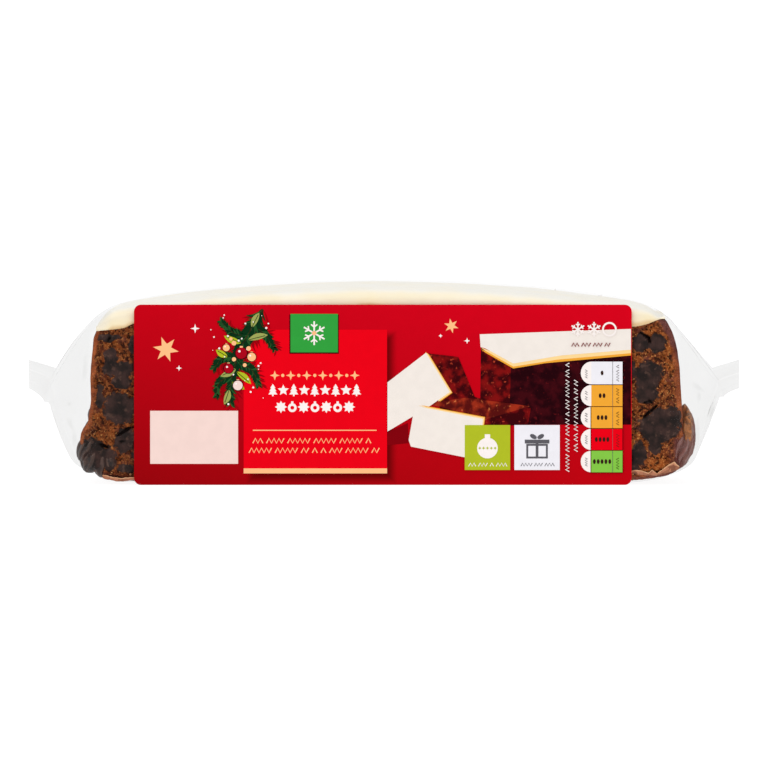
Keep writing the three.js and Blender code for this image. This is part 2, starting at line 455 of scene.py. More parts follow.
def icing_material():
    """Smooth cream icing, with a painted sheen that makes it whiter along its crest, and stained yellow where
    it meets the cake.
    """
    material, tree, shader = new_material("cream icing", Roughness=0.6, IOR=1.42, Specular_IOR_Level=0.2)
    uneven = mottle(tree, 130, 3, 0.2, 0.8)
    lift = maths(tree, "SUBTRACT", stored(tree, "lift"), times(tree, uneven, 1.2))
    crest = maths(tree, "ADD", stored(tree, "crest"), times(tree, uneven, 0.7))
    cream = tinted(
        tree,
        blend(tree, mottle(tree, 60, 3, 0.4, 0.66), linear(252, 240, 211), linear(255, 245, 223)),
        (stepped(tree, lift, -0.4, 1.8, 1, 0), (254, 239, 202)),
        # painted sheen: the icing whiter and greyer along its crest, as if the film over it shines
        (stepped(tree, crest, 0.4, 2.3, 1, 0), (247, 245, 238)),
        (stepped(tree, lift, -1.3, -0.1, 1, 0), (236, 204, 154)),
    )
    wire(tree, shader, Base_Color=cream)
    raise_relief(tree, shader, mottle(tree, 900, 3, 0.2, 0.8), 0.12, 0.0002)
    return material


def crumbs_material():
    """Loose crumbs and specks."""
    material, tree, shader = new_material("loose crumbs", Roughness=0.8)
    tone = mottle(tree, 500, 2, 0.35, 0.65)
    wire(tree, shader, Base_Color=blend(tree, tone, linear(96, 56, 34), linear(188, 128, 74)))
    raise_relief(tree, shader, tone, 0.4, 0.0003)
    return material


def film_material():
    """Clear film: it lets less through where it stands clear of the cake and where painted shade darkens its
    creases, and mirrors the room edge-on.
    """
    material, tree, shader = new_material("clear film", Base_Color=(0.8, 0.8, 0.8, 1), Roughness=0.2, IOR=1.5)
    free = stored(tree, "free")
    inner_side = add(tree, "NewGeometry").outputs["Backfacing"]
    index = maths(tree, "SUBTRACT", FILM_INDEX, times(tree, inner_side, FILM_INDEX - 1 / FILM_INDEX))
    edge = add(tree, "Fresnel", {"IOR": index}).outputs[0]
    hazy = blend(tree, mottle(tree, 35, 4, 0.3, 0.75), (0.907, 0.907, 0.906, 1), (0.893, 0.893, 0.891, 1))
    hazy = blend(tree, stepped(tree, edge, 0.72, 0.95), hazy, (0.94, 0.94, 0.94, 1))
    through = blend(tree, free, (0.956, 0.956, 0.956, 1), hazy)
    # painted shade: the film lets less through along its creases, so they read darker
    through = blend(tree, times(tree, stored(tree, "crease"), 0.6), through, (0.8, 0.8, 0.795, 1))
    mirrors = times(tree, maths(tree, "SUBTRACT", edge, 0.04, clamp=True), 0.16)
    mirrors = times(tree, mirrors, stepped(tree, inner_side, 0, 1, 1, 0.2))
    share = maths(tree, "ADD", times(tree, free, 0.01), mirrors, clamp=True)
    raise_relief(tree, shader, mottle(tree, 120, 3, 0, 1), 0.15, 0.0006)
    clear = add(tree, "BsdfTransparent", {"Color": through})
    mix = add(tree, "MixShader", {0: share, 1: clear.outputs[0], 2: shader.outputs[0]})
    out = next(n for n in tree.nodes if n.type == "OUTPUT_MATERIAL")
    tree.links.new(mix.outputs[0], out.inputs["Surface"])
    return material


# ================ The film bag ================


def share_along(x):
    """0 at the middle of the bar, and 1 where its crown ends."""
    return np.abs(x) / by_end(x, RIM_AT_TOP)


def crown_height(x):
    """The film's greatest height at x: it falls towards the ends, and fastest at the shoulders."""
    share = share_along(x)
    return BAG_HEIGHT - CROWN_DROP * share**2 - SHOULDER_DROP * share**SHOULDER_POWER


def camber(x):
    """How far the top bows up between its two long edges."""
    return CAMBER + (END_CAMBER - CAMBER) * smoothstep(share_along(x), 0.7, 1)


def base_height(x):
    """The film's height above the floor: 0 where the bar rests, rising to its ends."""
    share = np.maximum(0, np.abs(x) - BASE_FLAT_HALF) / (RIM_AT_BASE - BASE_FLAT_HALF)
    return BASE_LIFT * share**BASE_LIFT_POWER


def film_over(x, y):
    """The film's height above the cake's top, down round its long edges."""
    inner = HALF_WIDTH - TOP_RADIUS
    across = np.abs(y)
    edge = crown_height(x) - camber(x)
    over = edge + camber(x) * (1 - (np.minimum(across, inner) / inner) ** 2)
    turn = np.sqrt(np.clip(1 - (np.maximum(across - inner, 0) / TOP_RADIUS) ** 2, 0, 1))
    return over - TOP_RADIUS * (1 - turn)


def half_section(along, up):
    """Half of the bag's section from its front side to its back side, over the crown or under the base."""
    x = along * RIM_AT_TOP[1 if along > 0 else -1]
    crown, base = float(crown_height(x)), float(base_height(along * RIM_AT_BASE))
    bow = float(camber(x)) if up > 0 else 0
    edge = crown - bow if up > 0 else base
    radius = TOP_RADIUS if up > 0 else BASE_RADIUS
    inner = HALF_WIDTH - radius
    rise = np.linspace((crown + base) / 2, edge - up * radius, SIDE_STEPS, endpoint=False)
    turn = np.linspace(0, math.pi / 2, CORNER_STEPS, endpoint=False)
    run = np.linspace(-inner, inner, ACROSS_STEPS + 1)
    side = np.stack([np.full(SIDE_STEPS, -HALF_WIDTH), rise], 1)
    corner = np.stack([-inner - radius * np.cos(turn), edge - up * radius * (1 - np.sin(turn))], 1)
    front = np.concatenate([side, corner])
    across = np.stack([run, edge + bow * (1 - (run / inner) ** 2)], 1)
    back = front[::-1] * (-1, 1)
    return np.concatenate([front, across, back])


def length_shares(section):
    """How far along a section each of its points lies, from 0 to 1."""
    steps = np.linalg.norm(np.diff(section, axis=0), axis=1)
    lengths = np.concatenate([[0], np.cumsum(steps)])
    return lengths / lengths[-1]


FLAT_SHARES = (length_shares(half_section(1, 1)) + length_shares(half_section(1, -1))) / 2


def body_half(along, up):
    """Half a ring of film round the bar. along goes from -1 to 1 between the rims of its ends."""
    section = half_section(along, up)
    top = RIM_AT_TOP[1 if along > 0 else -1]
    share = np.clip(section[:, 1] / float(crown_height(top)), 0, 1)
    rim = RIM_AT_BASE + (top - RIM_AT_BASE) * share
    return np.stack([along * rim, section[:, 0], section[:, 1]], 1)


def seal_half(end, out, up):
    """Half a ring of a seal, which runs from its root, where out is 0, to its edge, where it is 1."""
    across = 2 * FLAT_SHARES - 1
    ripple = SEAL_WAVE * np.sin(SEAL_WAVES * 2 * math.pi * FLAT_SHARES + end) * np.sin(math.pi * FLAT_SHARES)
    length = SEAL_LENGTH - SEAL_SKEW * (1 - FLAT_SHARES)
    seal = SEALS[end]
    front_rise = seal["front_rise"] * out**CURL_POWER
    rise = front_rise + (BACK_RISE * out - front_rise) * FLAT_SHARES
    height = seal["height"] + seal["roll"] * across + rise + ripple
    inside = np.abs(across) < 1 - 1e-9
    crimp = CRIMP_DEPTH * math.sin(out * CRIMP_ROWS * 2 * math.pi)
    height = height + np.where(inside, up * FILM_THICKNESS / 2 + crimp, 0)
    return np.stack([end * (SEAL_ROOT + length * out), across * SEAL_WIDTH / 2, height], 1)


def taper_half(end, t, up):
    """Between the rim over the cake, where t is 0, and the seal's root, where it is 1."""
    drawn = body_half(end, up) * (1 - t) + seal_half(end, 0, up) * t
    swelling = np.sqrt(np.abs(np.sin(math.pi * FLAT_SHARES))) * math.sin(math.pi * t)
    drawn[:, 2] += up * SWELL[end, up] * swelling
    return drawn


def fold_relief(end, up, inward):
    """How far the folds stand out, for every point of half a ring this far inward of the seal's root."""
    depth = np.zeros(len(FLAT_SHARES))
    for fold in FOLDS[end, up]:
        reach = fold["reach"]
        strength = smoothstep(inward, 0, 2.5) * (1 - smoothstep(inward, 0.25 * reach, reach))
        middle = fold["place"] + fold["lean"] * inward
        width = fold["width"] * (1 + inward / 9)
        near = np.clip(1 - np.abs(FLAT_SHARES - middle) / width, 0, 1)
        depth += fold["depth"] * strength * near**1.5
    return depth * np.sin(math.pi * FLAT_SHARES) ** 0.5


def draw_folds():
    """The folds that gather the film towards each seal: where each starts, how wide, deep and long it is."""
    chance = random.Random(23)
    folds = {}
    for end in (-1, 1):
        for up in (-1, 1):
            folds[end, up] = [
                {
                    "place": (k + 0.5 + chance.uniform(-0.35, 0.35)) / FOLDS_PER_FACE,
                    "width": chance.uniform(0.02, 0.045),
                    "depth": chance.uniform(0.06, 0.18) * chance.choice((1, 1, -0.8)),
                    "reach": chance.uniform(7, 19),
                    "lean": chance.uniform(-0.004, 0.004),
                }
                for k in range(FOLDS_PER_FACE)
            ]
    return folds


FOLDS = draw_folds()

# Soft creases in front of the cake's ends: where each starts and ends, along and up, and its width.
CRUMPLES = [
    ((-82.0, 17.2), (-80.5, 13.9), 0.9),
    ((-80.5, 13.9), (-80.3, 9.9), 0.8),
    ((-77.5, 33.3), (-77.9, 27.6), 0.8),
    ((-81.8, 21.4), (-81.2, 21.0), 0.7),
    ((80.3, 26.4), (82.7, 24.8), 0.8),
    ((81.6, 24.5), (81.6, 22.0), 0.7),
    ((85.3, 22.0), (85.3, 16.4), 0.9),
    ((81.5, 17.2), (81.5, 9.9), 0.8),
]


def soften(rings, start, end, passes):
    """Evens out the rings from start to end, so that a sharp bend between them becomes round."""
    for _ in range(passes):
        middle = (rings[start - 1 : end - 1] + 2 * rings[start:end] + rings[start + 1 : end + 1]) / 4
        rings[start:end] = middle
    return rings


def film_grid():
    """The bag's surface as rings of points, with each ring's distance inward from its seal's root."""
    rows = []
    for end in (-1, 1):
        tip = [("seal", 1 - i / SEAL_RINGS) for i in range(SEAL_RINGS)]
        tip += [("taper", 1 - i / TAPER_RINGS) for i in range(TAPER_RINGS)]
        rows += [(kind, end, at) for kind, at in (tip if end < 0 else reversed(tip))]
        if end < 0:
            even = np.linspace(-1, 1, BODY_RINGS + 1)
            rows += [("body", 0, at) for at in even + 0.6 * (np.sin(even * math.pi / 2) - even)]
    rings, inward = [], []
    taper_length = SEAL_ROOT - (RIM_AT_BASE + RIM_AT_TOP[1]) / 2
    for kind, end, at in rows:
        if kind == "seal":
            halves = [seal_half(end, at, up) for up in (1, -1)]
            distance = -at
        elif kind == "taper":
            halves = [taper_half(end, at, up) for up in (1, -1)]
            distance = (1 - at) * taper_length
        else:
            halves = [body_half(at, up) for up in (1, -1)]
            distance = taper_length + (1 - abs(at)) * RIM_AT_TOP[1]
            end = 1 if at > 0 else -1
        top, base = halves
        rings.append(np.concatenate([top, base[1:-1][::-1]]))
        inward.append((end, distance))
    return np.array(rings), inward


def crumple_marks(points):
    """1 along the few soft creases in the film in front of the cake's ends, and 0 elsewhere."""
    marks = np.zeros(len(points))
    wander = 0.35 * noise_at(points, 4, 2, seed=51)
    for start, end, width in CRUMPLES:
        share, gap = beside_line(points, start, end)
        mark = (1 - smoothstep(gap + wander, 0.1, width)) * (0.4 + 0.6 * np.sin(math.pi * share))
        marks = np.maximum(marks, mark)
    return marks * (points[:, 1] < 0)


def outward_normals(rings):
    """The directions in which the rings' surface faces away from its inside."""
    along_step = np.gradient(rings, axis=0)
    round_step = (np.roll(rings, -1, axis=1) - np.roll(rings, 1, axis=1)) / 2
    normals = np.cross(along_step, round_step)
    normals /= np.maximum(np.linalg.norm(normals, axis=2, keepdims=True), 1e-9)
    side = np.sign((normals * (rings - rings.mean(axis=1, keepdims=True))).sum(axis=2))
    return normals * side[:, :, None]


def film_relief(rings, inward, standing):
    """How far the film stands out of its plain form: its folds, and a soft drape where nothing holds it."""
    folds = np.zeros(rings.shape[:2])
    for row, (end, distance) in enumerate(inward):
        if 0 < distance < FOLDED_REACH:
            top, base = (fold_relief(end, up, distance) for up in (1, -1))
            folds[row] = np.concatenate([top, base[1:-1][::-1]])
    drape = noise_at(rings.reshape(-1, 3) * (0.35, 1, 1), 11, 2, seed=3).reshape(folds.shape)
    calm = smoothstep(np.array([distance for _, distance in inward]), 0, 8)[:, None]
    behind_label = (rings[:, :, 1] < -HALF_WIDTH + 1) & (np.abs(rings[:, :, 0]) < HELD_FLAT)
    return folds + np.where(behind_label | standing, 0, 0.14 * drape * calm)


def film_wrap(material):
    """The bag of film: a tube over the cake, drawn in by folds to a crimped seal at each end."""
    rings, inward = film_grid()
    first_rim = SEAL_RINGS + TAPER_RINGS
    last_rim = first_rim + BODY_RINGS
    for rim in (first_rim, last_rim):
        rings = soften(rings, rim - 5, rim + 6, 10)
    around, half = rings.shape[1], len(FLAT_SHARES)
    normals = outward_normals(rings)
    standing = np.abs(rings[:, :, 2] - base_height(rings[:, :, 0])) < 1
    rings = rings + normals * film_relief(rings, inward, standing)[:, :, None]
    rings[:, :, 2] = np.maximum(rings[:, :, 2], 0)
    over_fin = FIN_WIDTH + 3 - np.abs(rings[:, :, 1])
    lifted = np.maximum(rings[:, :, 2], FIN_THICKNESS * smoothstep(over_fin, 0, 3))
    rings[:, :, 2] = np.where((over_fin > 0) & standing, lifted, rings[:, :, 2])
    creases = crumple_marks(rings.reshape(-1, 3))
    rings = rings - normals * (CREASE_DEPTH * creases.reshape(standing.shape))[:, :, None]
    ids = np.arange(rings.shape[0] * around).reshape(-1, around)
    quads = grid_quads(np.hstack([ids, ids[:, :1]])).tolist()
    for row, turn in ((ids[0], 1), (ids[-1], -1)):
        for i in range(half - 1):
            strip = [row[i], row[i + 1], row[(around - i - 1) % around], row[(around - i) % around]]
            quads.append([int(point) for point in dict.fromkeys(strip)][::turn])
    points = rings.reshape(-1, 3)
    piece = mesh_piece("film_wrap", points, quads, material)
    sooner = FREE_SOONER * smoothstep(points[:, 2], *CROWN_STARTS)
    free = smoothstep(np.abs(points[:, 0]) + sooner, FREE_FROM, FREE_FROM + 3)
    store(piece, crease=creases, free=free)
    inside_bag(piece)
    fin_seam(material, rings[first_rim : last_rim + 1, half:])


def fin_seam(material, base_rows):
    """The film's long seam: a fin along the base, folded flat towards the back, with fine ribs."""
    across = np.linspace(0.1, FIN_WIDTH, 6)
    xs = np.arange(-80, 80.1, 0.4)
    film = np.array([[np.interp(across, row[::-1, 1], row[::-1, k]) for row in base_rows] for k in (0, 2)])
    height = np.stack([np.interp(xs, film[0, :, k], film[1, :, k]) for k in range(len(across))], 1)
    ribs = 0.03 * np.cos(xs * math.pi / 0.8)[:, None]
    layers = [height - 0.03, np.maximum(height - FIN_THICKNESS + 0.07 - ribs, 0.01)]
    along, over = np.meshgrid(xs, across, indexing="ij")
    points = np.concatenate([np.stack([along, over, layer], -1).reshape(-1, 3) for layer in layers])
    count, wide = len(xs) * len(across), len(across)
    ids = np.arange(count).reshape(len(xs), wide)
    cells = grid_quads(ids)
    rim = np.concatenate([ids[:, 0], ids[-1, 1:], ids[-2::-1, -1], ids[0, -2:0:-1]])
    ahead = np.roll(rim, -1)
    border = np.stack([rim, rim + count, ahead + count, ahead], 1)
    piece = mesh_piece("fin_seam", points, np.concatenate([cells, cells[:, ::-1] + count, border]), material)
    inside_bag(piece)


# ================ The cake ================


def cake_top(x):
    """Where the cake meets the icing: it sinks towards the ends."""
    line = CAKE_MIDDLE_TOP - CAKE_TOP_DROP * (np.abs(x) / TOP_DROP_AT) ** 2
    right_corner = 2.4 * smoothstep(x, 64, 73)
    left_rise = 0.9 * smoothstep(-x, 50, 62) * (1 - smoothstep(-x, 64.5, 68))
    left_rise = left_rise + 0.3 * smoothstep(-x, 70, 75)
    return np.minimum(line + right_corner + left_rise, film_over(x, CAKE_HALF_DEPTH - 0.9) - 0.3)


def cake_base(x):
    """The underside of the cake, a little above the film."""
    return base_height(x * 0.985) * 0.9 + CAKE_CLEARANCE


# How far the cake reaches at each share of its height, from its foot to its top, by end.
CAKE_REACH = {
    -1: {
        0: 76.0, 0.08: 77.2, 0.15: 78.6, 0.22: 79.2, 0.28: 78.9, 0.35: 77.1,
        0.5: 76.2, 0.66: 76.4, 0.79: 76.1, 0.93: 75.6, 1: 74.4,
    },
    1: {
        0: 77.0, 0.08: 78.3, 0.125: 79.2, 0.17: 79.3, 0.3: 77.8, 0.44: 77.6,
        0.73: 77.0, 0.84: 76.4, 0.9: 75.8, 0.95: 74.9, 1: 73.2,
    },
}  # fmt: skip


def cake_reach(x, share):
    """How far the cake goes at a share of its height, towards the end on x's side."""
    return by_end(x, {end: np.interp(share, [*row], [*row.values()]) for end, row in CAKE_REACH.items()})


# Cut fruit at the front of both ends: the middle, half the width and half the height of each.
FRONT_FRUIT = [
    (-71.6, 38.4, 2.8, 1.0),
    (-71.0, 32.8, 1.5, 3.0),
    (-68.9, 30.0, 3.9, 2.1),
    (-65.4, 36.6, 1.2, 2.5),
    (-68.2, 26.7, 2.5, 1.9),
    (-73.9, 25.3, 0.9, 1.1),
    (-74.0, 22.4, 1.1, 2.7),
    (-68.5, 19.9, 4.3, 3.8),
    (-67.2, 11.4, 2.7, 3.4),
    (-67.3, 4.1, 2.3, 1.3),
    (-76.2, 7.6, 3.8, 4.2),
    (-71.6, 6.4, 2.2, 3.2),
    (66.9, 37.2, 2.2, 2.3),
    (70.9, 36.7, 2.1, 2.3),
    (68.9, 28.4, 3.5, 3.8),
    (68.2, 23.6, 2.9, 2.5),
    (71.5, 15.2, 5.2, 4.2),
    (75.0, 17.9, 2.1, 2.6),
    (66.4, 8.0, 1.9, 3.1),
    (70.6, 10.4, 1.5, 2.2),
    (62.0, 30.0, 3.4, 3.0),
    (-62.0, 8.0, 3.0, 2.6),
]

# Cracks that open in the front face, as the points that each passes through.
FRONT_CRACKS = [
    [(66.6, 39.8), (67.7, 38.9), (68.9, 38.2), (69.2, 36.9)],
    [(67.8, 21.4), (69.0, 21.9), (69.8, 21.3)],
    [(67.6, 17.8), (69.2, 19.0), (70.7, 20.4)],
    [(-66.4, 14.4), (-68.0, 13.6), (-69.2, 12.8)],
    [(-72.2, 36.8), (-71.4, 38.2)],
    [(-74.2, 10.8), (-71.8, 9.6)],
    [(-68.5, 11.2), (-67.4, 11.2)],
    [(-67.2, 14.3), (-66.2, 14.9), (-65.1, 15.1)],
]


# The peeling skin near both ends of the front: its lower and upper edge, by its place along the bar.
FRONT_SKIN = {
    -73.2: (1.9, 2.5), -72.4: (1.6, 2.5), -71.4: (1.4, 2.2), -69.8: (1.1, 1.8), -68.0: (1.0, 1.6),
    -66.6: (1.2, 1.9), -65.7: (1.3, 2.0), 64.6: (3.0, 3.8), 66.0: (2.8, 3.8), 67.6: (2.6, 3.5),
    68.7: (2.5, 3.0), 69.7: (2.5, 3.9), 71.0: (2.5, 2.9), 72.6: (2.9, 4.1), 74.2: (3.3, 5.3),
    75.5: (3.7, 6.0), 76.8: (4.2, 4.7),
}  # fmt: skip
BACK_SKIN = {-74.0: (2.6, 3.2), 75.0: (2.8, 3.4)}


def scattered_fruit():
    """Fruit through the whole cake, apart from what is listed one by one: middles, half sizes and turns."""
    chance = np.random.RandomState(11)
    fruit = []
    for x in np.arange(-72, 73, FRUIT_SPACING):
        for y in np.arange(-24.6, 25, FRUIT_SPACING):
            for z in np.arange(4, 46, FRUIT_SPACING * 0.88):
                spot = np.array([x, y, z]) + chance.uniform(-0.42, 0.42, 3) * FRUIT_SPACING
                long, short = chance.uniform(3.4, 6.2), chance.uniform(2.2, 3.8)
                roll, lean = chance.uniform(0, math.pi), chance.uniform(-0.5, 0.5)
                turn = Matrix.Rotation(roll, 3, "Y") @ Matrix.Rotation(lean, 3, "Z")
                at_front_end = spot[1] < -16 and abs(spot[0]) > END_FINE + 1
                if not at_front_end and min(26 - abs(spot[1]), 77 - abs(spot[0]), spot[2]) <= 5:
                    fruit.append((spot, (long, chance.uniform(2.4, 3.6), short), np.array(turn)))
    return fruit


def fruit_depth(points):
    """How deep each point lies in a piece of fruit, in its own terms: over 0 inside, 1 at its heart."""
    bent = points + 0.6 * np.stack([noise_at(points, 4.5, 2, seed=s) for s in (1, 2, 4)], 1)
    bent += 0.42 * np.stack([noise_at(points, 1.7, 2, seed=s) for s in (6, 7, 10)], 1)
    deepest = np.full(len(points), -1.0)
    for spot, size, turn in scattered_fruit():
        near = np.abs(bent - spot).max(axis=1) < 7
        local = (bent[near] - spot) @ turn / np.array(size)
        deepest[near] = np.maximum(deepest[near], 1 - np.linalg.norm(local, axis=1))
    at_front = smoothstep(-points[:, 1], 19, 22)
    for x, z, wide, high in FRONT_FRUIT:
        gap = np.hypot((bent[:, 0] - x) / wide, (bent[:, 2] - z) / high)
        deepest = np.maximum(deepest, np.where(at_front > 0, (1.12 - gap) * at_front - (1 - at_front), -1))
    return deepest


def crack_depth(points):
    """1 along the bottom of a crack in the front face, and 0 away from one."""
    depth = np.zeros(len(points))
    wander = 0.28 * noise_at(points, 1.4, 2, seed=9)
    for crack in FRONT_CRACKS:
        for start, end in zip(crack, crack[1:]):
            gap = beside_line(points, start, end)[1] + wander
            depth = np.maximum(depth, 1 - smoothstep(gap, 0.05, 0.48))
    return depth * smoothstep(-points[:, 1], 23, 25)


def cake_divisions():
    """Where the crumb's grid is cut along the bar: finely at the ends, which show beside the label."""
    end = np.append(np.arange(END_FINE, CAKE_HALF_LENGTH, 0.4)[1:], CAKE_HALF_LENGTH)
    return np.concatenate([-end[::-1], np.linspace(-END_FINE, END_FINE, 150), end])


def cake_form():
    """The bar's plain rounded form as points and quads, with the reach of its end beside each point."""
    half = np.array([CAKE_HALF_LENGTH, CAKE_HALF_DEPTH, CRUMB_HEIGHT / 2])
    depths, heights = np.linspace(-half[1], half[1], 66), np.linspace(-half[2], half[2], 84)
    points, quads = box_grid(cake_divisions(), depths, heights)
    level = points[:, 2] / CRUMB_HEIGHT + 0.5
    points = round_box(points, half, 0.7 + 2.8 * smoothstep(-level, -0.35, 0))
    up = points[:, 2] / CRUMB_HEIGHT + 0.5
    reach = cake_reach(points[:, 0], up)
    x = points[:, 0] / CAKE_HALF_LENGTH * reach
    z = cake_base(x) + (cake_top(x) - cake_base(x)) * up
    return np.stack([x, points[:, 1], z], 1), quads, reach


def crust_marks(points, normals, reach):
    """Where the cake has skin in place of open crumb, and where that skin is dark and reddish."""
    x, y, z = points.T
    at_end = smoothstep(np.abs(normals[:, 0]), 0.45, 0.9)
    under = smoothstep(-normals[:, 2], 0.4, 0.8)
    skin = np.maximum(0.85 * at_end, under) * smoothstep(noise_at(points, 7, 2, seed=5), -0.5, 0.1)
    ragged = 0.7 * noise_at(points, 3, 2, seed=15)
    rim = smoothstep(np.abs(x) - reach + 1.3 + 0.5 * (x > 0) + ragged, 0, 0.6)
    foot = smoothstep(x, 74.5, 76) * smoothstep(-z + ragged, -12.5, -11.5)
    corner = smoothstep(x + 0.5 * z + ragged, 92.2, 93.6)
    sole = smoothstep(base_height(x) - z + 0.4 * ragged, -1.7, -1.1)
    near_front = smoothstep(-y + 3 * ragged, 12, 18)
    maroon = np.maximum(np.maximum(foot, corner) * near_front, 0.8 * sole)
    return np.maximum(skin, np.maximum(rim, maroon)), maroon, at_end


def cake_crumb(material):
    """The bar of cake below its icing: cut faces of crumb and fruit, with crust at its ends and foot."""
    points, quads, reach = cake_form()
    piece = mesh_piece("cake_crumb", points, quads, material)
    normals = point_normals(piece)
    fruit, crack = fruit_depth(points), crack_depth(points)
    skin, maroon, at_end = crust_marks(points, normals, reach)
    in_fruit = smoothstep(fruit, 0.0, 0.3)
    rough = noise_at(points, 1.5, 3, seed=6) * (1 - 0.75 * in_fruit) * (1 - 0.6 * skin)
    holes = smoothstep(noise_at(points, 2.6, 2, seed=8), 0.3, 0.65) * (1 - in_fruit) * (1 - skin)
    wrinkles = noise_at(points * (2.2, 1, 0.7), 2.2, 2, seed=12) * in_fruit
    lumps = noise_at(points, 12, 2, seed=14)
    out = 0.34 * lumps + 0.26 * rough - 0.7 * holes + 0.3 * in_fruit + 0.16 * wrinkles
    out = out * (1 - 0.6 * at_end) - 1.3 * crack
    hidden_top = smoothstep(normals[:, 2], 0.5, 0.9) > 0.5
    points = points + normals * np.where(hidden_top, 0.25 * lumps, out)[:, None]
    points[:, 1] = np.clip(points[:, 1], -HALF_WIDTH + 0.35, HALF_WIDTH - 0.35)
    points[:, 2] = np.maximum(points[:, 2], base_height(points[:, 0]) + 0.35)
    move_points(piece, points)
    store(piece, fruit=fruit, crack=crack, skin=skin, maroon=maroon)
    inside_bag(piece)


def icing_layer(material):
    """A layer of icing over the cake, domed along and across, thinning to nothing at the ends."""
    counts = (210, 74, 12)
    points, quads = box_grid(*(np.linspace(-half, half, count) for half, count in zip(ICING_GRID, counts)))
    sharp, soft = ICING_EDGES
    level = points[:, 2] / (2 * ICING_GRID[2]) + 0.5
    points = round_box(points, ICING_GRID, sharp + (soft - sharp) * smoothstep(level, 0.2, 0.9))
    up = points[:, 2] / (2 * ICING_GRID[2]) + 0.5
    reach = by_end(points[:, 0], ICING_REACH)
    x, y = points[:, 0] / ICING_GRID[0] * reach, points[:, 1]
    low = cake_top(x) - 0.75 * (1 - smoothstep(x, 68.5, 73))
    thinning = by_end(x, ICING_END_DROP) * smoothstep(np.abs(x), reach - 6.5, reach + 0.8) ** 1.5
    gap = ICING_GAP * (1 - 0.6 * smoothstep(np.abs(x), 60, 72))
    film = film_over(x, np.minimum(np.abs(y), HALF_WIDTH - TOP_RADIUS))
    high = np.maximum(film - gap - thinning, low + 0.85)
    z = low + (high - low) * up
    points = np.stack([x, y, z], 1)
    piece = mesh_piece("icing_layer", points, quads, material)
    waves = 0.16 * noise_at(points, 14, 2, seed=21) + 0.05 * noise_at(points, 2.5, 2, seed=22)
    points = points + point_normals(piece) * waves[:, None]
    move_points(piece, points)
    stain = 1.8 * np.exp(-(((points[:, 0] + 3) / 5) ** 2)) * smoothstep(-points[:, 1], 20, 25)
    stain += 0.8 * smoothstep(x, 58, 63) * (1 - smoothstep(x, 68, 72)) - 2.2 * smoothstep(-x, 70.5, 73.5)
    # crest: how far below the icing's top each point lies, for its painted sheen
    store(piece, lift=points[:, 2] - cake_top(points[:, 0]) - stain, crest=high - z + ICING_GAP)
    inside_bag(piece)


def wrinkled_lump(centre, size, seed, turn, furrows, detail, wrinkle=0.075):
    """Points, faces and ridge heights of one dried fruit, furrowed from end to end."""
    round_points, faces = ball(detail)
    x, y, z = round_points.T
    drift = noise_at(round_points, 0.9, 2, seed=seed)
    fine = 0.6 * noise_at(round_points, 0.35, 2, seed=seed + 1)
    ridge = np.cos(furrows * np.arctan2(y, x) + 2.4 * drift) * (1 - z**2) + fine
    swelling = 0.12 * noise_at(round_points, 1.1, 1, seed=seed + 2)
    grown = round_points * (1 + wrinkle * ridge + swelling)[:, None]
    spun = grown * np.array(size) @ np.array(Matrix.Rotation(turn, 3, "Y")).T
    return spun + np.array(centre), faces, ridge


def joined(name, lumps, material, *marks):
    """One piece of several lumps, each given as points, faces and a list of numbers for each mark."""
    starts = np.cumsum([0, *(len(points) for points, *_ in lumps)])
    faces = np.concatenate([lump[1] + start for lump, start in zip(lumps, starts)])
    piece = mesh_piece(name, np.concatenate([lump[0] for lump in lumps]), faces, material)
    store(piece, **{mark: np.concatenate([lump[2 + i] for lump in lumps]) for i, mark in enumerate(marks)})
    return piece


# Lumps at the front of the foot: the middle, the half sizes, the turn and how many furrows each has.
LEFT_FOOT_FRUIT = [
    ((-77.3, -21.4, 9.7), (2.5, 5.3, 4.3), 0.45, 9),
    ((-75.7, -22.0, 7.2), (3.2, 4.7, 4.4), 0.35, 8),
    ((-73.2, -22.6, 6.1), (2.9, 4.5, 4.2), 0.05, 8),
    ((-71.2, -22.9, 5.6), (2.0, 4.1, 3.2), -0.15, 6),
    ((-75.3, -22.3, 18.4), (1.7, 3.4, 3.0), 0.25, 5),
]
RIGHT_CRUST = [
    ((79.0, -17.9, 13.9), (1.95, 8.8, 6.9), -0.07, 2),
    ((77.7, -20.6, 9.4), (2.7, 6.4, 5.6), 0.3, 9),
]


def fruit_pieces(material):
    """Whole fruit that stands out of the cake: a cluster at the left foot, and others on every side."""
    lumps = [
        wrinkled_lump(at, size, 31 + number, turn, furrows, detail=5, wrinkle=0.05)
        for number, (at, size, turn, furrows) in enumerate(LEFT_FOOT_FRUIT)
    ]
    chance = random.Random(5)
    for number in range(46):
        side = chance.choice(("back", "back", "left", "right", "foot"))
        height = chance.uniform(6, 38)
        if side == "back":
            at = (chance.uniform(-70, 70), CAKE_HALF_DEPTH - 1.7, height)
        elif side == "foot":
            at = (chance.uniform(-60, 60), chance.choice((-1, 1)) * 23.6, 3.4)
        else:
            end = -1 if side == "left" else 1
            reach = float(cake_reach(end, height / CRUMB_HEIGHT))
            at = (end * (reach - 2.4), chance.uniform(-15, 22), height)
        size = (chance.uniform(2.4, 3.6), 2.3, chance.uniform(2.0, 3.4))
        if side in ("left", "right"):
            size = (2.2, size[0], size[2])
        turn, furrows = chance.uniform(-0.6, 0.6), chance.choice((3, 4, 5))
        lumps.append(wrinkled_lump(at, size, 60 + number, turn, furrows, detail=3))
    inside_bag(joined("dried_fruit", lumps, material, "ridge"))


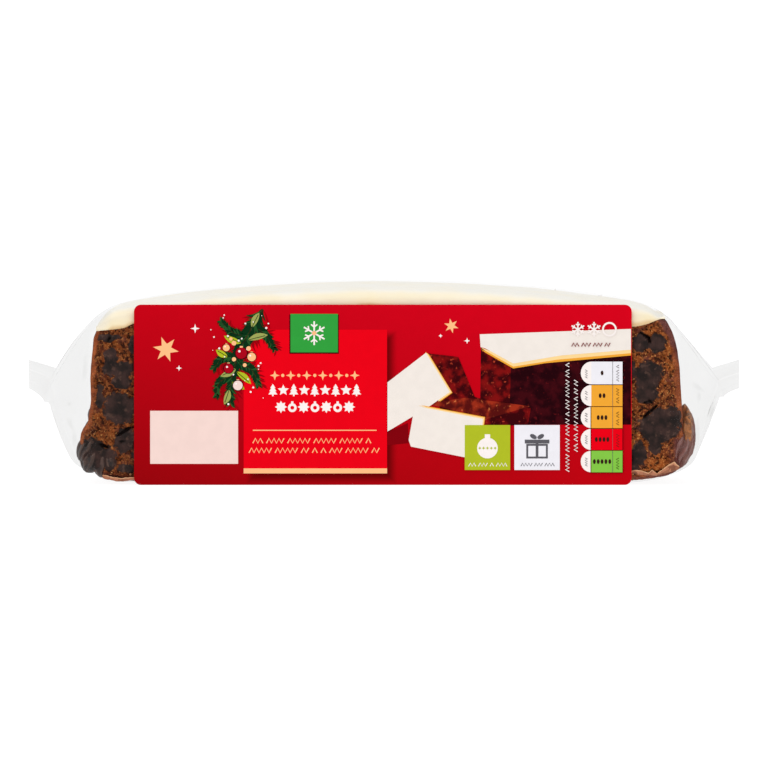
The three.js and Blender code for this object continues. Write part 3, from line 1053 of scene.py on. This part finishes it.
def crust_flaps(material):
    """Crust at the right end: a flap that stands off the side, broken along its top, and the folded foot."""
    lumps = []
    for number, (at, size, turn, furrows) in enumerate(RIGHT_CRUST):
        points, faces, ridge = wrinkled_lump(at, size, 88 + number, turn, furrows, detail=5, wrinkle=0.07)
        creases = 0.3 * noise_at(points * (1, 1, 0.3), 1.9, 3, seed=42)
        points = points + np.stack([creases, -creases, 0 * creases], 1)
        patchy = noise_at(points, 3, 2, seed=41)
        top = smoothstep(points[:, 2] + 2 * patchy, 10.5, 13.0)
        top *= smoothstep(-points[:, 0] + 0.8 * patchy, -80.6, -79.8) * (number == 0)
        lumps.append((points, faces, top, ridge))
    inside_bag(joined("crust_flaps", lumps, material, "broken", "ridge"))


def skin_ribbon(drawn, side, chance):
    """One side's ribbon: its stations along the bar, its foot, its top and how far its edge curls out."""
    knots = {}
    for x in sorted([*drawn, *np.arange(max(x for x in drawn if x < 0) + 1.9, 63.5, 1.9)]):
        foot = float(base_height(x)) + 1.1
        knots[x] = drawn.get(x, (foot, foot + chance.uniform(0.25, 0.95)))
    places = list(knots)
    stations = np.unique([*places, *np.arange(places[0], places[-1], 0.45)])
    low, top = (np.interp(stations, places, [knot[k] for knot in knots.values()]) for k in (0, 1))
    along = np.stack([stations, np.full(len(stations), side * 9.0), top], 1)
    low = low + 0.12 * noise_at(along, 1.4, 2, seed=71)
    top = np.maximum(top + 0.16 * noise_at(along, 0.9, 2, seed=72), low + 0.15)
    curl = 0.14 + 0.16 * noise_at(along, 2.2, 2, seed=73)
    return stations, low, top, curl


def base_skin(material):
    """A ragged ribbon of skin along the foot of both long sides, drawn up to points near the right end."""
    chance = random.Random(17)
    outer = CAKE_HALF_DEPTH + 0.3
    points, faces, edges = [], [], []
    for side, drawn in ((-1, FRONT_SKIN), (1, BACK_SKIN)):
        rows = list(zip(*skin_ribbon(drawn, side, chance)))
        ids = np.arange(4 * len(rows)).reshape(-1, 4) + len(points)
        for x, foot, tip, curl in rows:
            points += [(x, side * (CAKE_HALF_DEPTH - 2.4), foot - 0.2), (x, side * (outer - 0.2), foot)]
            points += [(x, side * outer, foot + 0.7 * (tip - foot)), (x, side * (outer + curl), tip)]
            edges += [0, 0.1, 0.6, 1]
        faces.append(grid_quads(ids)[:, ::-side])
    piece = mesh_piece("base_skin", points, np.concatenate(faces), material)
    store(piece, edge=edges)
    thicken = piece.modifiers.new("thickness", "SOLIDIFY")
    thicken.thickness = 0.2 * MM
    thicken.offset = 0
    inside_bag(piece)


def loose_crumbs(material):
    """Crumbs that have fallen to the foot of the bag, and a few on the icing."""
    chance = random.Random(29)
    lumps = []
    for number in range(70):
        size = chance.uniform(0.12, 0.4)
        if number < 5:
            size *= 0.5
            x, y = chance.uniform(30, 66), chance.uniform(-20, 20)
            z = film_over(x, y) - ICING_GAP + 0.05
        else:
            x, y = chance.uniform(-72, 72), chance.choice((-1, 1)) * (CAKE_HALF_DEPTH + 0.4)
            z = base_height(x) + chance.uniform(0.6, 2.4)
        points, faces = ball(1)
        points *= np.array([chance.uniform(0.7, 1.3) for _ in points])[:, None] * size
        lumps.append((points + np.array([x, y, float(z)]), faces))
    inside_bag(joined("loose_crumbs", lumps, material))


# ================ The printed label ================

# Places in the print are millimetres from the label's lower left corner, and a box is its left side,
# its right side, its foot and its top.
LABEL_LEFT, LABEL_FRONT = LABEL_LOW.x, LABEL_LOW.y
LABEL_FOOT = LABEL_LOW.z + 0.3
INK_STEP = 0.03  # how far each layer of ink stands in front of the one below it
INK_ORDER = 16  # shapes of one layer lie a hair apart, in turns of this many, so that none share a face
PANEL = (28.5, 65.8, 2.7, 40.1)
DATE_BOX = (4.2, 27.05, 5.2, 19.0)
GREEN_TILE = (40.7, 53.0, 34.2, 44.2)
OLIVE_TILE = (86.0, 97.8, 3.6, 15.3)
PALE_TILE = (98.9, 110.7, 3.6, 15.3)
CELLS_LEFT, CELLS_RIGHT = 118.9, 127.0
CELLS = [  # each cell's ink, foot and top
    ("cool white", 25.9, 31.8),
    ("amber", 20.2, 25.7),
    ("amber", 14.5, 20.0),
    ("bright red", 8.8, 14.3),
    ("lime", 3.0, 8.6),
]
PRINTED = {}  # the shapes of each ink, as their layer, their outline and the holes in it


def put(ink, layer, outline, *holes):
    """Prints a shape, with holes in it or none."""
    PRINTED.setdefault(ink, []).append((layer, [np.asarray(loop, float) for loop in (outline, *holes)]))


def box_shape(left, right, foot, top):
    """The corners of an upright box."""
    return [(right, top), (left, top), (left, foot), (right, foot)]


def round_shape(u, v, wide, high=None, turn=0.0, steps=22):
    """A circle, or an oval where its half height is given too."""
    angle = np.arange(steps) * 2 * math.pi / steps
    return turned(np.stack([wide * np.cos(angle), (high or wide) * np.sin(angle)], 1), u, v, turn)


def turned(shape, u, v, turn):
    """A shape about its own middle, turned by an angle and set down at (u, v)."""
    c, s = math.cos(turn), math.sin(turn)
    return np.asarray(shape) @ np.array([[c, s], [-s, c]]) + (u, v)


def star_shape(u, v, radius, points=5, waist=0.42, turn=0.0):
    """A star. Its inner corners lie at the waist's share of its radius."""
    angle = np.arange(2 * points) * math.pi / points + math.pi / 2
    reach = np.where(np.arange(2 * points) % 2, waist, 1) * radius
    return turned(np.stack([reach * np.cos(angle), reach * np.sin(angle)], 1), u, v, turn)


def leaf_shape(u, v, length, width, turn, bend=0.0, steps=7):
    """A pointed leaf that starts at (u, v) and grows along turn."""
    t = np.linspace(0, 1, steps)
    middle = bend * length * np.sin(math.pi * t)
    half = width / 2 * np.sin(math.pi * t) ** 0.8
    there = np.stack([t * length, middle + half], 1)
    back = np.stack([t * length, middle - half], 1)[1:-1][::-1]
    return turned(np.concatenate([there, back]), u, v, turn)


def stroke_shape(points, width, tip=1.0, start=1.0):
    """A line of some width through points, which narrows to a share of it at its start and its end."""
    points = np.asarray(points, float)
    run = np.gradient(points, axis=0)
    side = np.stack([-run[:, 1], run[:, 0]], 1) / np.linalg.norm(run, axis=1, keepdims=True)
    share = np.linspace(0, 1, len(points))
    half = (width / 2 * np.interp(share, (0, 0.35, 1), (start, 1, tip)))[:, None]
    return np.concatenate([points + side * half, (points - side * half)[::-1]])


def zigzag(ink, layer, start, end, height, seed):
    """A fine zigzag, broken up like a line of stitches, between two places on the label."""
    chance = random.Random(seed)
    start, end = np.array(start, float), np.array(end, float)
    length = np.linalg.norm(end - start)
    along = (end - start) / length
    up = np.array([-along[1], along[0]])
    at = 0.0
    while at < length - 1:
        teeth = chance.randint(3, 9)
        step = height * 0.52
        stop = min(at + teeth * step, length)
        count = max(int((stop - at) / step), 2)
        teeth_up = (up * height * (0.5 if i % 2 else -0.5) for i in range(count + 1))
        places = [start + along * (at + i * step) + tooth for i, tooth in enumerate(teeth_up)]
        put(ink, layer, stroke_shape(places, height * 0.24))
        at += count * step + height * 0.75


def fir_tree(ink, layer, u, v, height):
    """A plain fir: three stacked triangles and a trunk."""
    right = [(0.06, 0), (0.06, 0.14), (0.37, 0.14), (0.18, 0.4), (0.29, 0.4), (0.12, 0.66), (0.21, 0.66)]
    outline = [*right, (0, 1), *((-x, y) for x, y in right[::-1])]
    put(ink, layer, np.array(outline) * height + (u, v))


def snow_crystal(ink, layer, u, v, radius, width):
    """Six arms, each with one pair of side branches."""
    for k in range(6):
        turn = k * math.pi / 3 + math.pi / 6
        tip = np.array([math.cos(turn), math.sin(turn)])
        put(ink, layer, stroke_shape([(u, v), (u, v) + tip * radius], width))
        for lean in (-0.9, 0.9):
            side = np.array([math.cos(turn + lean), math.sin(turn + lean)])
            root = (u, v) + tip * radius * 0.52
            put(ink, layer, stroke_shape([root, root + side * radius * 0.34], width * 0.85))


def spruce_twig(points, needle, seed):
    """A twig through points, thick with needles on both sides, and the shadows of some of them."""
    chance = random.Random(seed)
    put("twig brown", 4, stroke_shape(points, 0.42, 0.4))
    put("deep green", 3, stroke_shape(points, needle * 1.15, 0.25, 0.15))
    steps = np.linalg.norm(np.diff(points, axis=0), axis=1)
    reach = np.concatenate([[0], np.cumsum(steps)])
    for at in np.arange(0.3, reach[-1], 0.3):
        place = [np.interp(at, reach, points[:, k]) for k in (0, 1)]
        ahead = [np.interp(at + 0.3, reach, points[:, k]) for k in (0, 1)]
        if at + 0.3 < reach[-1]:
            heading = math.atan2(ahead[1] - place[1], ahead[0] - place[0])
        for side in (-1, 1):
            turn = heading + side * chance.uniform(0.55, 0.95)
            length = needle * chance.uniform(0.75, 1.1) * (1 - 0.45 * at / reach[-1])
            ink = chance.choice(("pine green", "deep green", "deep green"))
            put(ink, chance.choice((4, 5)), leaf_shape(*place, length, 0.44, turn, side * -0.06, steps=5))
            if chance.random() < 0.4:
                shadow = leaf_shape(place[0] + 0.7, place[1] - 0.4, length * 1.5, 0.4, turn, steps=5)
                put("shadow red", 2, shadow)


def bauble(u, v, radius, ink):
    """A ball with a dark rim, a gold cap and a spot of light."""
    put("deep maroon", 8, round_shape(u, v, radius * 1.14))
    put(ink, 9, round_shape(u, v, radius))
    put("gold", 8, box_shape(u - radius * 0.26, u + radius * 0.26, v + radius * 0.9, v + radius * 1.28))
    put("soft white", 10, round_shape(u - radius * 0.34, v + radius * 0.34, radius * 0.22))


def curve_points(knots):
    """A smooth line through a few places."""
    knots = np.array([knots[0], *knots, knots[-1]], float)
    out = []
    for a, b, c, d in zip(knots, knots[1:], knots[2:], knots[3:]):
        for t in np.linspace(0, 1, 8, endpoint=False):
            bends = (2 * a - 5 * b + 4 * c - d) * t**2 + (3 * b - a - 3 * c + d) * t**3
            out.append(0.5 * (2 * b + (c - a) * t + bends))
    return np.array([*out, knots[-1]])


TWIGS = [  # the places that each twig passes through, and how long its needles are
    ([(33.5, 45.4), (30.5, 40.5), (27.5, 34.5), (25.4, 27.5), (25.0, 21.0)], 3.5),
    ([(31.0, 41.3), (34.2, 38.6), (36.6, 34.9)], 2.4),
    ([(29.2, 38.3), (25.6, 39.4), (22.7, 42.2)], 2.4),
    ([(27.0, 33.2), (23.0, 32.6), (20.6, 29.8)], 2.5),
    ([(26.6, 31.5), (30.6, 29.6), (32.4, 25.6)], 2.4),
    ([(25.6, 28.2), (22.2, 26.4), (21.4, 22.8)], 2.2),
]
LEAVES = [  # where each leaf starts, its length and its turn
    (29.6, 37.4, 5.4, 0.25),
    (28.0, 36.6, 5.0, 2.75),
    (26.6, 30.0, 4.6, 3.6),
    (26.6, 29.2, 5.0, -0.7),
    (24.8, 24.6, 4.2, -1.9),
    (25.4, 26.4, 3.8, -0.5),
    (30.6, 40.6, 4.4, 1.1),
    (24.4, 33.0, 3.6, 2.6),
]
BAUBLES = [
    (27.9, 34.0, 1.45, "berry red"),
    (30.6, 33.0, 1.1, "gold"),
    (24.6, 30.0, 1.2, "berry red"),
    (27.0, 25.6, 1.25, "pale cream"),
    (24.0, 35.4, 0.9, "gold"),
]
BERRIES = [(29.8, 35.2, 0.6), (26.0, 32.4, 0.55), (26.0, 36.6, 0.62), (25.2, 37.7, 0.45), (28.8, 30.9, 0.5)]


def print_sprig():
    """A hanging sprig of spruce with leaves, baubles, berries and specks of snow."""
    for seed, (places, needle) in enumerate(TWIGS, 1):
        spruce_twig(curve_points(places), needle, seed)
    for number, (u, v, length, turn) in enumerate(LEAVES):
        put(("sage green", "olive green")[number % 2], 6, leaf_shape(u, v, length, 1.7, turn, 0.05))
        put("deep green", 7, stroke_shape([(u, v), turned([(length * 0.86, 0)], u, v, turn)[0]], 0.16))
    for ball_place in BAUBLES:
        bauble(*ball_place)
    for berry in BERRIES:
        put("gold", 9, round_shape(*berry))
    chance = random.Random(3)
    for _ in range(26):
        u, v = chance.uniform(19.8, 35.5), chance.uniform(20, 44)
        put("soft white", 11, round_shape(u, v, chance.uniform(0.1, 0.3), steps=10))


def print_panel():
    """The bright panel, with a row of gold and two rows of white ornaments on it, and the bare date box."""
    left, right, foot, _ = PANEL
    put("bright red", 1, box_shape(*PANEL))
    put("gold", 2, box_shape(left, right, foot, foot + 1.3))
    put("deep maroon", 2, box_shape(40.4, 53.25, 33.85, 44.0))
    put("leaf green", 3, box_shape(*GREEN_TILE))
    snow_crystal("soft white", 4, 46.85, 39.2, 3.1, 0.42)
    put("gold", 5, star_shape(46.85, 39.2, 0.75, 6, 0.6))
    for k in range(11):
        u = 36.6 + 2.08 * k
        put("gold", 2, round_shape(u, 28.2, 0.42) if k % 2 else star_shape(u, 28.2, 1.25, 4, 0.36))
    for k in range(9):
        u = 36.1 + 2.72 * k
        if k % 2:
            put("soft white", 2, star_shape(u, 24.35, 1.5, 5, 0.46))
        else:
            fir_tree("soft white", 2, u, 22.8, 3.2)
    for k in range(7):
        u = 38.2 + 2.95 * k
        if k % 2:
            put("soft white", 2, round_shape(u, 19.8, 1.15), round_shape(u, 19.8, 0.5))
            put("soft white", 2, box_shape(u - 0.3, u + 0.3, 20.9, 21.45))
        else:
            put("soft white", 2, star_shape(u, 20.0, 1.6, 8, 0.62))
    put("gold", 2, box_shape(30.9, 63.1, 13.8, 14.05))
    zigzag("gold", 2, (30.9, 11.2), (63.2, 11.2), 1.25, 1)
    zigzag("gold", 2, (29.9, 8.7), (64.3, 8.7), 1.25, 2)
    put("pale cream", 1, box_shape(*DATE_BOX))


SPARKLES = [  # the middle, the radius and the waist of each white star
    (15.9, 40.4, 1.25, 0.3),
    (11.7, 30.1, 0.8, 0.34),
    (79.7, 38.5, 0.5, 0.5),
    (86.6, 37.2, 0.8, 0.36),
]


def print_stars():
    """Gold stars and white sparkles, strewn over the red."""
    for u, v, radius, turn in ((8.3, 35.0, 3.4, 0.35), (82.5, 41.1, 1.95, 0.2)):
        put("gold", 2, star_shape(u, v, radius, 6, 0.42, turn))
    for u, v, radius, waist in SPARKLES:
        put("soft white", 2, star_shape(u, v, radius, 4, waist))


# The picture of cake, as the ink, the layer and the outline of each of its shapes.
CAKE_PICTURE = [
    ("picture crumb", 1, [(90.2, 35.4), (98.0, 30.9), (129.2, 33.8),
        (129.2, 15.4), (97.0, 15.4), (90.0, 20.0)]),
    ("picture shade", 2, [(98.0, 30.8), (129.2, 34.0), (129.2, 15.4), (97.6, 15.4)]),
    ("amber", 3, [(90.2, 35.0), (91.4, 34.1), (98.6, 30.0), (107.0, 31.4),
        (129.2, 33.4), (129.2, 35.2), (98.2, 32.2)]),
    ("picture honey", 4, [(90.1, 35.5), (91.4, 34.6), (98.6, 30.5), (110.0, 32.3),
        (129.2, 34.0), (129.2, 35.4), (98.2, 32.4)]),
    ("picture white", 5, [(89.9, 38.9), (129.2, 40.3), (129.2, 34.9), (111.0, 33.4),
        (98.6, 31.3), (91.4, 35.2), (90.1, 35.6)]),
    ("picture crumb", 5, [(76.5, 33.9), (84.3, 33.0), (88.6, 22.6), (93.6, 21.0),
        (103.2, 19.8), (102.4, 15.2), (80.5, 15.2)]),
    ("amber", 6, [(75.7, 34.3), (76.7, 33.7), (82.8, 23.7), (79.6, 21.4)]),
    ("picture honey", 7, [(75.8, 34.2), (76.4, 33.8), (82.6, 23.8), (79.2, 21.4)]),
    ("picture white", 8, [(65.9, 26.4), (75.9, 34.1), (82.1, 23.9),
        (77.0, 20.3), (72.6, 17.6), (65.9, 13.6)]),
    ("rust", 6, [(76.0, 20.9), (86.4, 22.4), (103.0, 20.2), (91.8, 16.9)]),
    ("amber", 8, [(74.6, 20.5), (91.3, 17.4), (91.0, 15.0)]),
    ("picture honey", 9, [(74.0, 20.4), (91.1, 17.2), (90.8, 15.0)]),
    ("picture white", 10, [(73.0, 20.3), (90.7, 16.9), (90.3, 12.0),
        (87.0, 6.7), (72.0, 9.7), (71.4, 11.4)]),
    ("deep red", 1, [(65.9, 13.4), (71.2, 15.8), (71.4, 10.6), (65.9, 10.0)]),
]  # fmt: skip


def print_cake():
    """A plain picture of iced cake: a bar behind, one slice that leans on it and one that lies in front."""
    for shape in CAKE_PICTURE:
        put(*shape)


def print_tiles():
    """An olive tile with a bauble on it, and a pale one with a gift box."""
    put("olive green", 11, box_shape(*OLIVE_TILE))
    put("soft white", 12, round_shape(91.9, 9.3, 2.7))
    put("soft white", 12, box_shape(91.2, 92.6, 11.8, 12.9))
    for k in range(5):
        put("olive green", 13, star_shape(89.9 + k, 9.3, 0.42, 4, 0.5))
    zigzag("soft white", 12, (87.0, 5.0), (97.2, 5.0), 0.9, 4)
    put("cool white", 11, box_shape(*PALE_TILE))
    put("print grey", 12, box_shape(102.0, 107.6, 6.6, 10.4), box_shape(102.5, 107.1, 7.1, 9.9)[::-1])
    put("print grey", 12, box_shape(101.6, 108.0, 10.5, 11.5))
    put("print grey", 12, box_shape(104.45, 105.15, 6.6, 11.5))
    for side in (-1, 1):
        put("print grey", 13, round_shape(104.8 + side * 0.95, 12.3, 0.95, 0.55, side * 0.5))
    zigzag("print grey", 12, (100.6, 5.0), (109.4, 5.0), 0.8, 5)


def print_cells():
    """A column of coloured cells with pips, and the ornaments round it."""
    put("deep maroon", 11, box_shape(CELLS_LEFT - 0.2, CELLS_RIGHT + 0.1, 2.9, 31.9))
    for pips, (ink, foot, top) in enumerate(CELLS):
        middle = (foot + top) / 2
        put("soft white", 11, round_shape(CELLS_LEFT, middle, 2.75, (top - foot) / 2))
        put(ink, 12, box_shape(CELLS_LEFT, CELLS_RIGHT, foot, top))
        put("print grey", 13, box_shape(124.4, 124.5, foot, top))
        for k in range(pips + 1):
            put("print dark", 13, round_shape(121.7 + (k - pips / 2) * 1.0, middle, 0.36, 0.62))
        zigzag("print dark", 13, (125.75, foot + 0.8), (125.75, top - 0.6), 0.7, 20 + pips)
        zigzag("print grey", 13, (117.6, foot + 1.6), (117.6, top - 1.4), 0.6, 30 + pips)
    zigzag("soft white", 11, (112.7, 3.2), (112.7, 32.0), 0.95, 6)
    zigzag("soft white", 11, (114.9, 8.4), (114.9, 27.2), 0.95, 7)
    for u in (115.4, 119.6):
        snow_crystal("soft white", 11, u, 40.2, 1.9, 0.36)
    put("soft white", 11, round_shape(123.6, 40.2, 1.9), round_shape(123.6, 40.2, 1.45)[::-1])
    zigzag("deep red", 11, (113.8, 36.2), (124.4, 36.2), 0.9, 8)


INK_COLOURS = {
    "bright red": (233, 0, 21),
    "deep red": (128, 0, 10),
    "deep maroon": (58, 4, 12),
    "gold": (255, 190, 134),
    "amber": (240, 166, 52),
    "pale cream": (243, 215, 207),
    "soft white": (249, 240, 236),
    "cool white": (238, 236, 242),
    "picture white": (240, 231, 223),
    "leaf green": (49, 158, 61),
    "pine green": (34, 82, 38),
    "deep green": (8, 48, 22),
    "sage green": (156, 164, 88),
    "olive green": (176, 188, 38),
    "lime": (130, 196, 70),
    "twig brown": (72, 40, 22),
    "shadow red": (150, 0, 12),
    "picture honey": (252, 216, 150),
    "berry red": (168, 4, 26),
    "print grey": (92, 90, 96),
    "print dark": (52, 30, 24),
}

# The picture's inks: the shade, the tone and the bright flecks of each.
PICTURE_CRUMB = {
    "picture crumb": ((56, 3, 8), (126, 14, 14), (204, 74, 46)),
    "picture shade": ((34, 2, 8), (60, 6, 14), (96, 16, 20)),
    "rust": ((84, 14, 12), (158, 46, 24), (216, 118, 66)),
}


def ink_material(name):
    """A satin printed colour with a faint unevenness."""
    material, tree, shader = new_material("ink " + name, Roughness=0.5, Specular_IOR_Level=0.02)
    full = INK_COLOURS[name]
    thin = [value * 0.985 for value in full]
    wire(tree, shader, Base_Color=blend(tree, mottle(tree, 420, 4, 0.3, 0.7), linear(*thin), linear(*full)))
    return material


def picture_crumb_material(ink):
    """The picture's printed crumb: dark red-brown with bright flecks, or nearly black in the shade."""
    material, tree, shader = new_material("ink " + ink, Roughness=0.5, Specular_IOR_Level=0.02)
    shade, tone, bright = PICTURE_CRUMB[ink]
    crumb = blend(tree, mottle(tree, 330, 5, 0.42, 0.62), linear(*shade), linear(*tone))
    flecks = times(tree, mottle(tree, 1000, 4, 0.61, 0.73), 0.75)
    wire(tree, shader, Base_Color=tinted(tree, crumb, (flecks, bright)))
    return material


def label_material():
    """Red label paper, darker to the lower left, with the bright panel's soft printed shadow."""
    material, tree, shader = new_material("red label paper", Roughness=0.48, Specular_IOR_Level=0.02)
    place = object_place(tree)
    along, up = (
        add(tree, "MapRange", {"Value": place[axis], "From Min": low * MM, "From Max": high * MM}).outputs[0]
        for axis, low, high in ((0, LABEL_LOW.x, LABEL_HIGH.x), (2, LABEL_LOW.z, LABEL_HIGH.z))
    )
    low = blend(tree, along, linear(146, 1, 8), linear(188, 1, 14))
    high = blend(tree, along, linear(196, 0, 20), linear(212, 0, 26))
    left, right, foot, top = PANEL
    wide = (place[0], left + 2 + LABEL_LEFT, right + 1.2 + LABEL_LEFT)
    tall = (place[2], foot - 1.4 + LABEL_FOOT, top - 1.6 + LABEL_FOOT)
    gaps = []
    for at, start, end in (wide, tall):
        off = maths(tree, "ABSOLUTE", maths(tree, "SUBTRACT", at, (start + end) / 2 * MM))
        gaps.append(maths(tree, "SUBTRACT", off, (end - start) / 2 * MM))
    shadow = stepped(tree, maths(tree, "MAXIMUM", *gaps), -1.2 * MM, 1.8 * MM, 0.92, 0)
    patch = times(tree, mottle(tree, 420, 4, 0.3, 0.7), 0.04)
    red = tinted(tree, blend(tree, up, low, high), (shadow, (96, 0, 2)), (patch, (120, 0, 6)))
    wire(tree, shader, Base_Color=red)
    return material


def printed_piece(ink, shapes, material):
    """All shapes of one ink: closed plates as thin as print, set into the label's front."""
    points, faces = [], []
    for number, (layer, loops) in enumerate(shapes):
        depth = LABEL_FRONT - INK_STEP * (layer + number % INK_ORDER / INK_ORDER * 0.8)
        start = len(points)
        flat = np.concatenate(loops)
        count = len(flat)
        outline = [[Vector((u, v, 0)) for u, v in loop] for loop in loops]
        for y in (depth, LABEL_FRONT + 0.1):
            points += [(LABEL_LEFT + u, y, LABEL_FOOT + v) for u, v in flat]
        for a, b, c in mathutils.geometry.tessellate_polygon(outline):
            (ua, va), (ub, vb), (uc, vc) = flat[a], flat[b], flat[c]
            turns_left = (ub - ua) * (vc - va) - (vb - va) * (uc - ua) > 0
            face = (a, b, c) if turns_left else (a, c, b)
            faces.append([start + i for i in face])
            faces.append([start + count + i for i in face[::-1]])
        offset = start
        for order, loop in enumerate(loops):
            u, v = loop.T
            outward = ((u * np.roll(v, -1) - v * np.roll(u, -1)).sum() > 0) == (order == 0)
            for i in range(len(loop)):
                a, b = offset + i, offset + (i + 1) % len(loop)
                side = [a, a + count, b + count, b]
                faces.append(side if outward else side[::-1])
            offset += len(loop)
    piece = mesh_piece("print_" + ink.replace(" ", "_"), points, faces, material, smooth=False)
    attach(piece, "root")


def dress_label():
    """Gives the label its paper, and prints every ink on it."""
    bpy.data.objects["front_label"].material_slots[0].material = label_material()
    for draw in (print_panel, print_stars, print_sprig, print_cake, print_tiles, print_cells):
        draw()
    for ink, shapes in PRINTED.items():
        material = picture_crumb_material(ink) if ink in PICTURE_CRUMB else ink_material(ink)
        printed_piece(ink, shapes, material)


# ================ The stage ================

FLOOR_REACH = 90_000
CAMERA_DISTANCE = 3300
CAMERA_TILT = math.radians(2)
CAMERA_AIM = Vector((0, 0, 25.3))
PIXEL = 0.26  # the size of a picture pixel at the label
PIXELS_ACROSS = 768


def stage():
    """A wide pale floor that glows a little, a soft sun, a bright sky and two softboxes."""
    glow = {"Emission_Color": (1, 1, 1, 1), "Emission_Strength": 0.93}
    material, tree, shader = new_material("pale floor", Roughness=0.9, Specular_IOR_Level=0.1, **glow)
    grey, paler = (0.115, 0.115, 0.115, 1), (0.12, 0.12, 0.12, 1)
    wire(tree, shader, Base_Color=blend(tree, mottle(tree, 3, 2, 0.2, 0.8), grey, paler))
    corners = [(x * FLOOR_REACH, y * FLOOR_REACH, 0) for x, y in ((-1, -1), (1, -1), (1, 1), (-1, 1))]
    mesh_piece("floor", corners, [(0, 1, 2, 3)], material, smooth=False)
    world = bpy.data.worlds.new("sky")
    world.use_nodes = True
    sky = world.node_tree.nodes["Background"]
    sky.inputs["Color"].default_value = (1, 1, 1, 1)
    sky.inputs["Strength"].default_value = 0.9
    bpy.context.scene.world = world
    bpy.context.scene.view_settings.view_transform = "Standard"
    add_light("soft_sun", "SUN", (-1.0, -1.7, 2.8), 0.8, angle=1.0)
    add_light("left_softbox", "AREA", (-1.3, -0.8, 0.5), 0.9, size=0.3)
    add_light("right_softbox", "AREA", (1.3, -0.7, 0.45), 0.7, size=0.3)


def add_light(name, kind, place, strength, **settings):
    """A light that looks at the middle of the pack."""
    light = bpy.data.lights.new(name, kind)
    light.energy = strength
    for key, value in settings.items():
        setattr(light, key, value)
    lamp = bpy.data.objects.new(name, light)
    lamp.location = place
    aim = Vector((0, 0, BAG_HEIGHT / 2 * MM)) - Vector(place)
    lamp.rotation_euler = aim.to_track_quat("-Z", "Y").to_euler()
    bpy.context.collection.objects.link(lamp)


def camera():
    """A long lens a little above level, in front of the label."""
    data = bpy.data.cameras.new("camera")
    data.sensor_width = 36
    data.lens = (CAMERA_DISTANCE + LABEL_LOW.y) / PIXEL * data.sensor_width / PIXELS_ACROSS
    data.clip_end = 500
    taker = bpy.data.objects.new("camera", data)
    back = Vector((0, -math.cos(CAMERA_TILT), math.sin(CAMERA_TILT)))
    taker.location = (CAMERA_AIM + back * CAMERA_DISTANCE) * MM
    taker.rotation_euler = (math.pi / 2 - CAMERA_TILT, 0, 0)
    bpy.context.collection.objects.link(taker)
    bpy.context.scene.camera = taker


# ================ Assembly ================

camera()
stage()

film_wrap(film_material())
cake_crumb(crumb_material())
icing_layer(icing_material())
fruit_pieces(fruit_material())
crust_flaps(crust_material())
base_skin(base_skin_material())
loose_crumbs(crumbs_material())
dress_label()
